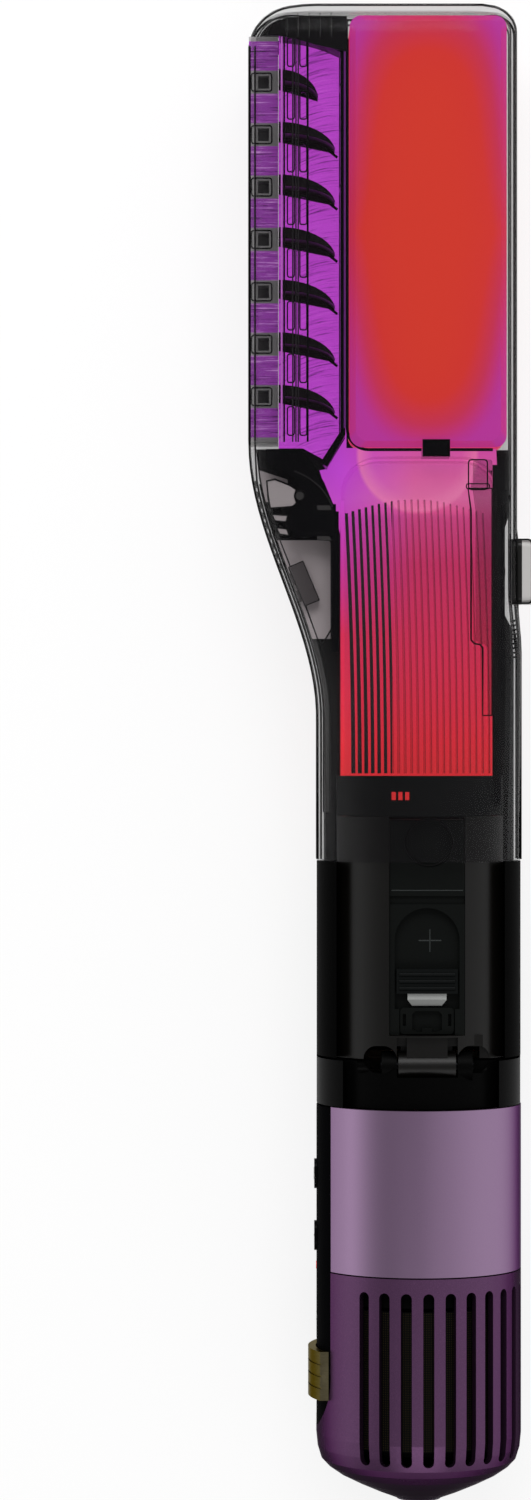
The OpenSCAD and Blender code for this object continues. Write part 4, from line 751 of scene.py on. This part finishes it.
def frameRowTree(add, given):
    # a row of rounded rectangular frames, each bent from one round bead
    outline = add("CurvePrimitiveQuadrilateral", {
        "mode": "RECTANGLE", "Width": given["Width"], "Height": given["Height"],
    })
    rounded = add("FilletCurve", {"mode": "POLY", "Count": 4, "Curve": outline, "Radius": given["Corner"]})
    ring = add("CurvePrimitiveCircle", {"Resolution": 6, "Radius": given["Bead radius"]})
    tube = add("CurveToMesh", {"Curve": rounded, "Profile Curve": ring})
    row = add("MeshLine", {
        "mode": "OFFSET", "Count": given["Count"], "Start Location": given["First"], "Offset": given["Step"],
    })
    return add("InstanceOnPoints", {"Points": row, "Instance": tube})


def lugTree(add, given):
    # small rounded lugs at even steps along every line of the mesh that it is given
    line = add("MeshToCurve", {"Mesh": given["Geometry"]})
    spots = add("CurveToPoints", {"mode": "LENGTH", "Curve": line, "Length": given["Spacing"]})
    outline = add("CurvePrimitiveQuadrilateral", {
        "mode": "RECTANGLE", "Width": given["Long"], "Height": given["Wide"],
    })
    corner = add("ShaderNodeMath MULTIPLY", {0: given["Wide"], 1: 0.3})
    rounded = add("FilletCurve", {"mode": "POLY", "Count": 2, "Curve": outline, "Radius": corner})
    up = add("ShaderNodeCombineXYZ", {"Z": given["Tall"]})
    post = add("CurvePrimitiveLine", {"End": up})
    solid = add("CurveToMesh", {"Fill Caps": True, "Curve": post, "Profile Curve": rounded})
    turned = add("FunctionNodeAlignRotationToVector", {
        "axis": "X", "pivot_axis": "Z", "Vector": spots.outputs["Tangent"],
    })
    return add("InstanceOnPoints", {"Points": spots, "Instance": solid, "Rotation": turned})


def bakeTree(name, tree, mesh, body, values):
    # millimetres in values become metres, and the result is a plain mesh that rides on its body
    source = newObject(name, mesh)
    modifier = source.modifiers.new(tree.name, "NODES")
    modifier.node_group = tree
    for item in tree.interface.items_tree:
        if item.item_type == "SOCKET" and item.in_out == "INPUT" and item.name in values:
            value = values[item.name]
            modifier[item.identifier] = value / 1000 if isinstance(value, float) else value
    ready = source.evaluated_get(bpy.context.evaluated_depsgraph_get())
    plain = bpy.data.meshes.new_from_object(ready)
    source.modifiers.remove(modifier)
    source.data = plain
    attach(source, body)


beads = newGroup(beadTree, "beadAlongLines", {"Bead radius": "Float", "Facets": "Int"})
frameRow = newGroup(frameRowTree, "rowOfFrames", {
    "Count": "Int", "First": "Vector", "Step": "Vector", "Width": "Float", "Height": "Float",
    "Corner": "Float", "Bead radius": "Float",
})
lugs = newGroup(lugTree, "lugsAlongLines", {
    "Spacing": "Float", "Long": "Float", "Wide": "Float", "Tall": "Float",
})
noLines = bpy.data.meshes.new("noLines")
arms = (("front", "front_arm", 1), ("rear", "handle", -1))


def bead(name, paths, body, radius, finish=blackPartsAndEdgeShade, closed=False):
    bakeTree(name, beads, lineMesh(name, paths, closed), body, {
        "Bead radius": radius, "Facets": 8, "Finish": finish,
    })


def frames(name, body, first, size, radius, count=1, pitch=0.0):
    # one rounded frame, or a row of them toward the grip; size is width, height and corner
    width, height, corner = size
    bakeTree(name, frameRow, noLines, body, {
        "Count": count, "First": place(*first), "Step": Vector((0, -pitch / 1000, 0)), "Width": width,
        "Height": height, "Corner": corner, "Bead radius": radius, "Finish": blackPartsAndEdgeShade,
    })


def upright(x, first, last, z):
    return [(x, first, z), (x, last, z)]


def atHeight(outline, z):
    return [(x, y, z) for x, y in outline]


def rectangle(left, low, right, high):
    return [(left, low), (right, low), (right, high), (left, high)]


def mirrored(path):
    return [(x, y, -z) for x, y, z in path]


innerLine = contour(edgeLook["inInset"], overVents, flat, flat, dip=1.1, leftSlack=0.4, rightSlack=0.6)
outInset = edgeLook["outInset"]
bead("front_outline", [contour(outInset, overVents, overButton, overHead)], "front_arm", edgeLook["outer"])
bead("front_inline", [innerLine], "front_arm", edgeLook["inner"])
bead("rear_outline", [mirrored(contour(outInset, overVents, flat, overHead))], "handle", edgeLook["outer"])
bead("rear_inline", [mirrored(innerLine)], "handle", edgeLook["inner"])
print("outlines done")

# Details above the channel: window frames in two columns, the upright ribs, and the nozzle frames.
channelLook = {
    "slotX": [-28.15, -25.45], "slotTop": 316.1, "pitch": 11.44, "count": 8, "slotSize": (1.5, 6.2, 0.5),
    "z": 12.02, "ribLow": 231.5, "ribHigh": 321.0,
    "ribs": {"rib_outer": (-29.6, 0.2), "rib_inner": (-24.5, 0.22)}, "fineRibs": [-27.05, -26.55, -27.75],
    "pale": (-30.15, 12.0, 1.5), "paleR": 0.2, "nozzleX": -34.5, "nozzleZ": 7.15,
    "nozzleSize": (4.4, 3.9, 0.5),
}
pitch = channelLook["pitch"]
count = channelLook["count"]
ribEnds = (channelLook["ribLow"], channelLook["ribHigh"])
for tag, body, side in arms:
    z = channelLook["z"] * side
    for number, x in enumerate(channelLook["slotX"]):
        first = (x, channelLook["slotTop"], z)
        frames(
            f"{tag}_slot_frames_{number + 1}", body, first, channelLook["slotSize"], edgeLook["fine"], count,
            pitch,
        )
    first = (channelLook["nozzleX"], channelLook["slotTop"] - pitch / 2, channelLook["nozzleZ"] * side)
    frames(
        f"{tag}_nozzle_frames", body, first, channelLook["nozzleSize"], edgeLook["fine"], count - 1, pitch,
    )
    for label, (x, radius) in channelLook["ribs"].items():
        bead(f"{tag}_{label}", [upright(x, *ribEnds, z)], body, radius)
    fineRibs = [upright(x, *ribEnds, z) for x in channelLook["fineRibs"]]
    bead(f"{tag}_fine_ribs", fineRibs, body, edgeLook["fine"], beadSmoke)
    paleX, paleZ, shorter = channelLook["pale"]
    pale = upright(paleX, ribEnds[0], ribEnds[1] - shorter, paleZ * side)
    bead(f"{tag}_lit_rib", [pale], body, channelLook["paleR"], beadMagenta)
print("channel details done")

# Thin moulded sheets: the webs that close each vane's hollow side, the cap at the channel's end, the film of
# coloured air that joins the duct to the channel, and the dark wall along the duct's right side.
sheetLook = {
    "vaneX": -30.75, "vaneTop": 312.6, "vaneReach": 12.2, "vaneDrop": 5.8, "vaneArc": 80.0,
    "webZ": (2.75, 3.6), "webThick": 3.3, "topVane": 0.7, "tail": ((-20.6, 4.6), (-17.9, 6.7)), "tailZ": 3.4,
    "film": [
        (-15.9, 237.0), (-16.2, 237.0), (-16.2, 233.0), (-20.2, 226.3), (-21.8, 226.0), (-20.8, 222.8),
        (-18.4, 217.0), (-17.3, 212.0), (-17.2, 216.0), (-10.0, 226.0), (17.2, 226.0), (17.0, 230.9),
        (-15.9, 230.9),
    ],
    "filmZ": (1.5, 1.68), "litEdge": (-16.45, 234.5, 317.0), "litR": 0.22, "tailR": 0.3, "capRibR": 0.09,
    "capBend": 0.02, "capBendFrom": -24, "webSteps": 10,
    "cap": [
        (-33.2, 319.8), (-30.5, 319.6), (-27.0, 318.9), (-22.5, 317.6), (-16.0, 316.2), (-16.0, 323.9),
        (-24.0, 324.0), (-29.5, 323.4), (-32.4, 321.8),
    ],
    "capZ": (12.1, 12.4), "capRibs": (-29.0, -26.6, -24.2, -21.8, -19.4), "capRibY": (324.6, 319.4),
    "capRibZ": 12.42, "wall": rectangle(17.3, 165.0, 18.9, 229.0), "wallZ": (1.5, 1.9),
    "rail": rectangle(15.7, 152.5, 17.4, 226.5), "railZ": (9.6, 12.1),
}


def sheet(name, outlines, heights, body, finish, side=1):
    # a closed plate for each outline, between two heights
    low, high = sorted(z * side for z in heights)
    points = []
    faces = []
    for outline in outlines:
        area = 0.0
        for (x0, y0), (x1, y1) in zip(outline, outline[1:] + outline[:1]):
            area += x0 * y1 - x1 * y0
        turn = outline if area > 0 else outline[::-1]
        first = len(points)
        total = len(turn)
        points += [place(x, y, z) for z in (low, high) for x, y in turn]
        faces.append([first + k for k in reversed(range(total))])
        faces.append([first + total + k for k in range(total)])
        for k in range(total):
            after = (k + 1) % total
            faces.append([first + k, first + after, first + total + after, first + total + k])
    mesh = bpy.data.meshes.new(name)
    mesh.from_pydata(points, [], faces)
    mesh.materials.append(finish)
    piece = newObject(name, mesh)
    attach(piece, body)


def vaneWebs():
    whole = math.radians(sheetLook["vaneArc"])
    steps = sheetLook["webSteps"]
    webs = []
    for number in range(count - 1):
        top = sheetLook["vaneTop"] - pitch * number
        reach = sheetLook["vaneReach"] * (sheetLook["topVane"] if number == 0 else 1.0)
        web = []
        for step in range(steps + 1):
            angle = whole * step / steps
            across = reach * math.sin(angle) / math.sin(whole)
            fall = sheetLook["vaneDrop"] * (1 - math.cos(angle)) / (1 - math.cos(whole))
            web.append((sheetLook["vaneX"] + across, top - fall))
        web.append((sheetLook["vaneX"], top - sheetLook["webThick"]))
        webs.append(web)
    return webs


webBlack = newMaterial(
    plainFinish,
    {"colour": "#050505", "tint": "#0d0c0e", "rough": 0.35, "grain": 4.0, "bump": 0.0, "shine": 0.08},
    name="smokedWeb",
)
litX, litLow, litHigh = sheetLook["litEdge"]
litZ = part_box("front_divider")[1][2] * 1000 - drawing["shiftZ"]
capTop, capLow = sheetLook["capRibY"]
for tag, body, side in arms:
    sheet(f"{tag}_vane_webs", vaneWebs(), sheetLook["webZ"], body, webBlack, side)
    sheet(f"{tag}_air_film", [sheetLook["film"]], sheetLook["filmZ"], body, ductPlastic, side)
    sheet(f"{tag}_vent_cap", [sheetLook["cap"]], sheetLook["capZ"], body, webBlack, side)
    litEdge = upright(litX, litLow, litHigh, litZ * side)
    bead(f"{tag}_lit_edge", [litEdge], body, sheetLook["litR"], beadViolet)
    tails = []
    for number in range(1, count - 1):
        top = sheetLook["vaneTop"] - pitch * number
        tails.append([(x, top - fall, sheetLook["tailZ"] * side) for x, fall in sheetLook["tail"]])
    bead(f"{tag}_vane_tails", tails, body, sheetLook["tailR"])
    capRibs = []
    for x in sheetLook["capRibs"]:
        # the cap's end curves away to the left
        top = capTop - sheetLook["capBend"] * min(0.0, x - sheetLook["capBendFrom"]) ** 2
        capRibs.append(upright(x, top, capLow, sheetLook["capRibZ"] * side))
    bead(f"{tag}_cap_ribs", capRibs, body, sheetLook["capRibR"], beadSmoke)
sheet("right_wall_strip", [sheetLook["wall"]], sheetLook["wallZ"], "front_arm", webBlack)
sheet("duct_shoulder_rail", [sheetLook["rail"]], sheetLook["railZ"], "front_arm", webBlack)


def ringOutline(x, y, radius, corners=20):
    turns = [2 * math.pi * k / corners for k in range(corners)]
    return [(x + radius * math.cos(turn), y + radius * math.sin(turn)) for turn in turns]


# The corner housing's lid: a grey window, two finger slots, a ring, two notches and a curved rib. Beside it
# are the dark strap along the casing's left edge, the wedge's outline and the connector's frame.
cornerLook = {
    "lidZ": 8.7, "lidDown": 0.1, "lidUp": 0.12, "ringUp": 0.1, "discUp": 0.08, "frameR": 0.2, "ringR": 0.22,
    "lineR": 0.16,
    "window": [
        (-33.4, 223.2), (-31.6, 223.6), (-28.4, 222.3), (-27.0, 221.4), (-27.3, 219.8), (-26.9, 218.4),
        (-27.8, 217.6), (-32.6, 217.3), (-33.1, 219.8),
    ],
    "slots": [
        [(-32.2, 215.9), (-28.8, 215.7), (-29.2, 214.3), (-31.6, 214.5)],
        [(-31.2, 213.0), (-29.0, 212.8), (-28.6, 211.4), (-30.6, 211.6)],
    ],
    "notches": [
        [(-22.5, 217.9), (-19.6, 217.9), (-19.3, 216.9), (-22.3, 216.9)],
        [(-22.5, 211.2), (-19.8, 211.2), (-19.2, 210.3), (-22.3, 210.3)],
    ],
    "ring": (-26.2, 220.0, 1.1), "rib": (-31.5, 212.6, 13.4), "ribArc": (72, 22, 14),
    "pivot": (18.3, 219.5, 1.5), "pivotZ": (8.2, 8.8), "strapIn": 2.85, "strapOut": 1.5,
    "strapZ": (1.5, 1.9), "strapLineZ": 1.95, "strapRows": (151, 225, 4),
    "wedge": [
        (-30.7, 211.1), (-19.5, 210.6), (-19.2, 210.0), (-19.2, 191.1), (-21.6, 187.2), (-25.7, 198.5),
    ],
    "wedgeZ": 2.95, "connector": (-25.26, 201.0, 5.3), "connectorHalf": (4.6, 1.7), "connectorLean": 113,
}
greyLid = newMaterial(
    plainFinish, {"colour": "#b3aaac", "tint": "#bbb2b4", "rough": 0.45, "grain": 0.6, "shine": 0.2},
    name="greyLid",
)
strapGrey = newMaterial(
    plainFinish, {"colour": "#3b3939", "tint": "#444242", "bump": 0.05, "shine": 0.15}, name="strapGrey",
)
lidZ = cornerLook["lidZ"]
lineR = cornerLook["lineR"]
openings = [cornerLook["window"]] + cornerLook["slots"]
lidLow = lidZ - cornerLook["lidDown"]
lidHigh = lidZ + cornerLook["lidUp"]
sheet("corner_window", openings, (lidLow, lidHigh), "front_arm", greyLid)
sheet("corner_notches", cornerLook["notches"], (lidLow, lidHigh), "front_arm", strapGrey)
windowLines = [atHeight(outline, lidHigh) for outline in openings]
bead("corner_window_frames", windowLines, "front_arm", cornerLook["frameR"], closed=True)
lidRing = ringOutline(*cornerLook["ring"])
bead(
    "corner_ring", [atHeight(lidRing, lidZ + cornerLook["ringUp"])], "front_arm", cornerLook["ringR"],
    closed=True,
)
sheet(
    "corner_ring_disc", [lidRing], (lidLow, lidZ + cornerLook["discUp"]), "front_arm", strapGrey,
)
ribX, ribY, ribR = cornerLook["rib"]
bead("corner_rib", [arc(ribX, ribY, lidZ, ribR, *cornerLook["ribArc"])], "front_arm", lineR, beadSmoke)
pivot = ringOutline(*cornerLook["pivot"])
sheet("sensor_pivot", [pivot], cornerLook["pivotZ"], "front_arm", webBlack)
strapRows = range(*cornerLook["strapRows"])
strapOuter = [(leftEdge(y, cornerLook["strapOut"]), y) for y in strapRows]
strapInner = [(leftEdge(y, cornerLook["strapIn"]), y) for y in reversed(strapRows)]
for tag, body, side in arms:
    sheet(
        f"{tag}_edge_strap", [strapOuter + strapInner], cornerLook["strapZ"], body, strapGrey,
        side,
    )
    z = cornerLook["strapLineZ"] * side
    bead(f"{tag}_strap_lines", [atHeight(strapOuter, z), atHeight(strapInner, z)], body, lineR)
wedgeLine = atHeight(cornerLook["wedge"], cornerLook["wedgeZ"])
bead("wedge_outline", [wedgeLine], "front_arm", cornerLook["frameR"], closed=True)
lean = math.radians(cornerLook["connectorLean"])
halfLong, halfWide = cornerLook["connectorHalf"]
midX, midY, connectorZ = cornerLook["connector"]
connectorLine = []
for along, across in ((1, 1), (1, -1), (-1, -1), (-1, 1)):
    x = midX + along * halfLong * math.cos(lean) - across * halfWide * math.sin(lean)
    y = midY + along * halfLong * math.sin(lean) + across * halfWide * math.cos(lean)
    connectorLine.append((x, y, connectorZ))
bead("connector_frame", [connectorLine], "front_arm", lineR, closed=True)
print("sheets done")

# Rows of snap lugs along the inner rim, the plate's gasket, and the frames of small clear pieces.
trimLook = {
    "lugRows": (205, 224, 3), "lugInset": 0.62, "tickRows": (185, 194, 2), "tickInset": 1.15,
    "gasketR": 0.34, "boxR": 0.15, "footR": 0.13, "buttonR": 0.22, "lugSpacing": 2.2, "lugLong": 1.2,
    "lugWide": 0.5, "lugTall": 2.6, "tickSpacing": 0.9, "tickLong": 0.3, "tickWide": 1.0, "footZ": 0.8,
    "gasketLeft": -15.8, "gasketRight": 16.0, "gasketLow": 230.2, "gasketTop": 320.0, "gasketTurn": 4.6,
    "gasketGap": (0.4, 6.7), "gasketZ": 6.6, "sensorX": 10.9, "sensorZ": 12.32, "boxAt": (12.4, 224.3, 13.3),
    "boxSize": (4.1, 6.5, 0.7), "footAt": (12.4, 221.8, 12.95), "footSize": (5.0, 1.1, 0.4),
    "buttonAt": (22.45, 203.6, 6.95), "buttonSize": (4.2, 13.9, 0.9),
}
leftLugs = [(leftEdge(y, trimLook["lugInset"]), y) for y in range(*trimLook["lugRows"])]
rightTicks = [(rightEdge(y, trimLook["tickInset"]), y) for y in range(*trimLook["tickRows"])]
for tag, body, side in arms:
    # lugs grow upward, so the rear arm's start lower
    low = trimLook["lugTall"] if side < 0 else 0.0
    for label, path, kind in (("snap_lugs", leftLugs, "lug"), ("snap_ticks", rightTicks, "tick")):
        line = lineMesh("lugLines", [atHeight(path, trimLook["footZ"] * side - low)])
        bakeTree(f"{tag}_{label}", lugs, line, body, {
            "Spacing": trimLook[kind + "Spacing"], "Long": trimLook[kind + "Long"],
            "Wide": trimLook[kind + "Wide"], "Tall": trimLook["lugTall"], "Finish": blackPartsAndEdgeShade,
        })

gasketZ = trimLook["gasketZ"]
gasketTurn = trimLook["gasketTurn"]
left = trimLook["gasketLeft"]
low = trimLook["gasketLow"]
gapLeft, gapRight = trimLook["gasketGap"]
gasketCorner = arc(left + gasketTurn, low + gasketTurn, gasketZ, gasketTurn, 180, 270, 10)
bead(
    "plate_gasket",
    [
        [(left, trimLook["gasketTop"], gasketZ)] + gasketCorner + [(gapLeft, low, gasketZ)],
        [(gapRight, low, gasketZ), (trimLook["gasketRight"], low, gasketZ)],
    ],
    "front_arm", trimLook["gasketR"],
)

# from the sensor's foot up its right side, over the box and down the left side, past the step
sensorLine = [
    (2.6, 172.1), (4.6, 172.1), (4.6, 221.4), (-0.6, 221.4), (0.05, 216.5), (0.05, 188.5), (0.8, 187.7),
    (2.0, 187.5), (2.6, 186.8),
]
sensorLine = [(x + trimLook["sensorX"], y, trimLook["sensorZ"]) for x, y in sensorLine]
bead("sensor_outline", [sensorLine], "front_arm", edgeLook["inner"], closed=True)
frames("sensor_box_frame", "front_arm", trimLook["boxAt"], trimLook["boxSize"], trimLook["boxR"])
frames("sensor_foot_frame", "front_arm", trimLook["footAt"], trimLook["footSize"], trimLook["footR"])
frames("button_frame", "side_button", trimLook["buttonAt"], trimLook["buttonSize"], trimLook["buttonR"])
print("trim done")

# Small signs: a plus moulded in the tray, the dial's ring, a painted highlight along the tray's seam, and
# plain marks printed on the control strip and on the two temperature buttons.
markLook = {
    "plus": (1.87, 123.4, 15.8), "plusSize": 2.45, "dial": (1.6, 144.7, 17.82), "dialR": 5.05,
    "seam": [(-6.5, 134.3, 17.8), (9.0, 134.3, 17.8)], "stripR": 22.44, "lineR": 0.09, "signSize": 1.3,
    "plusR": 0.2, "ringR": 0.17, "seamR": 0.13, "signR": 0.14, "openRing": (17.7, 0.8, 120, 420),
    "stroke": (17.9, 18.8), "wholeRing": (40.2, 0.9, 0, 360), "upY": 71.5, "downY": 57.9,
}
plusX, plusY, plusZ = markLook["plus"]
plusSize = markLook["plusSize"]
bead(
    "tray_plus",
    [
        [(plusX - plusSize, plusY, plusZ), (plusX + plusSize, plusY, plusZ)],
        [(plusX, plusY - plusSize, plusZ), (plusX, plusY + plusSize, plusZ)],
    ],
    "front_arm", markLook["plusR"], greyMarkAndHighlight,
)
dial = arc(*markLook["dial"], markLook["dialR"], 0, 360, 32)[:-1]
bead("dial_ring", [dial], "front_arm", markLook["ringR"], closed=True)
# a grey line along the tray's seam: a painted highlight
bead("tray_seam_highlight", [markLook["seam"]], "front_arm", markLook["seamR"], greyMarkAndHighlight)


def onStrip(across, y):
    # a point on the strip's round face, given along the arc and along the handle
    angle = across / markLook["stripR"]
    return (-markLook["stripR"] * math.cos(angle), y, markLook["stripR"] * math.sin(angle))


def stripRing(y, radius, first, last):
    return [onStrip(x, along) for x, along, z in arc(0, y, 0, radius, first, last, 16)]


stroke = [onStrip(0, y) for y in markLook["stroke"]]
marks = [stripRing(*markLook["openRing"]), stroke, stripRing(*markLook["wholeRing"])]
bead("strip_marks", marks, "handle", markLook["lineR"], printedWhite)
for key, y, crossed in (
    ("temp_up_button", markLook["upY"], True), ("temp_down_button", markLook["downY"], False),
):
    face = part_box(key)[0][0] * 1000 - drawing["shiftX"]
    half = markLook["signSize"]
    sign = [[(face, y, -half), (face, y, half)]]
    if crossed:
        sign.append([(face, y - half, 0), (face, y + half, 0)])
    bead(f"{key}_sign", sign, key, markLook["signR"], printedWhite)
print("marks done")

# Studio: a pale floor, and a soft sky that is dim overhead and brighter toward the horizon, so that round
# metal shows a dark middle between two bright sides, while a flat face keeps its own colour.
studio = {
    "floorColour": "#f4f4f4", "floorGlow": 0.8, "floorHalf": 6.0, "floorDrop": 0.0002, "overhead": 0.32,
    "left": 1.0, "leftPower": 8.0, "right": 0.62, "head": 0.8,
    "boxes": {"headSoftbox": ((-0.1, 0.7, 0.8), 7.0), "footSoftbox": ((0.0, -0.7, 0.9), 2.6)},
    "boxWide": 0.9, "boxLong": 0.5, "boxAim": (0, 0, 0.02), "cameraAt": (-33.66, 164.6, 913), "lens": 99.6,
}


def paleStudioFloor(add):
    matt = add("BsdfPrincipled", {
        "Base Color": studio["floorColour"], "Roughness": 0.9, "Specular IOR Level": 0.1,
    })
    white = add("Emission", {"Strength": 1.0})
    path = add("LightPath")
    shiny = add("Math MAXIMUM", {0: path.outputs["Is Camera Ray"], 1: path.outputs["Is Glossy Ray"]})
    seen = add("Math MAXIMUM", {0: shiny, 1: path.outputs["Is Transmission Ray"]})
    share = add("Math MULTIPLY", {0: seen, 1: studio["floorGlow"]})
    return add("MixShader", {0: share, 1: matt, 2: white})


def floorPiece():
    half = studio["floorHalf"]
    corners = [(x, y, -studio["floorDrop"]) for x, y in rectangle(-half, -half, half, half)]
    mesh = bpy.data.meshes.new("floor")
    mesh.from_pydata(corners, [], [(0, 1, 2, 3)])
    mesh.materials.append(newMaterial(paleStudioFloor))
    floor = newObject("floor", mesh)


def skyLight():
    world = bpy.data.worlds.new("softSky")
    add = emptyTree(world)
    where = add("TexCoord")
    axes = add("SeparateXYZ", {0: where.outputs["Generated"]}).outputs
    toLeft = add("Math MULTIPLY", {"use_clamp": True, 0: axes["X"], 1: -1.0})
    leftRise = add("Math POWER", {0: toLeft, 1: studio["leftPower"]})
    toRight = add("Math MAXIMUM", {0: axes["X"], 1: 0.0})
    headward = add("Math MAXIMUM", {0: axes["Y"], 1: 0.0})
    headRise = add("Math POWER", {0: headward, 1: 2.0})
    # the sum of the four parts of the light
    total = add("Math MULTIPLY_ADD", {0: leftRise, 1: studio["left"], 2: studio["overhead"]})
    for rise, share in ((toRight, "right"), (headRise, "head")):
        total = add("Math MULTIPLY_ADD", {0: rise, 1: studio[share], 2: total})
    path = add("LightPath")
    seen = add("Mix FLOAT", {0: path.outputs["Is Camera Ray"], 2: total, 3: 1.0})
    sky = add("Background", {"Color": "#ffffff", "Strength": seen})
    add("OutputWorld", {"Surface": sky})
    scene.world = world


def softbox(name, spot, power):
    lamp = bpy.data.lights.new(name, "AREA")
    lamp.shape = "RECTANGLE"
    lamp.size = studio["boxWide"]
    lamp.size_y = studio["boxLong"]
    lamp.energy = power
    rig = newObject(name, lamp)
    rig.location = spot
    rig.rotation_euler = (Vector(studio["boxAim"]) - Vector(spot)).to_track_quat("-Z", "Y").to_euler()


def camera():
    lens = bpy.data.cameras.new("camera")
    lens.sensor_fit = "AUTO"
    lens.sensor_width = 36
    lens.lens = studio["lens"]
    rig = newObject("camera", lens)
    rig.location = place(*studio["cameraAt"])
    scene.camera = rig


floorPiece()
skyLight()
for boxName, (spot, power) in studio["boxes"].items():
    softbox(boxName, spot, power)
camera()
print("studio done")
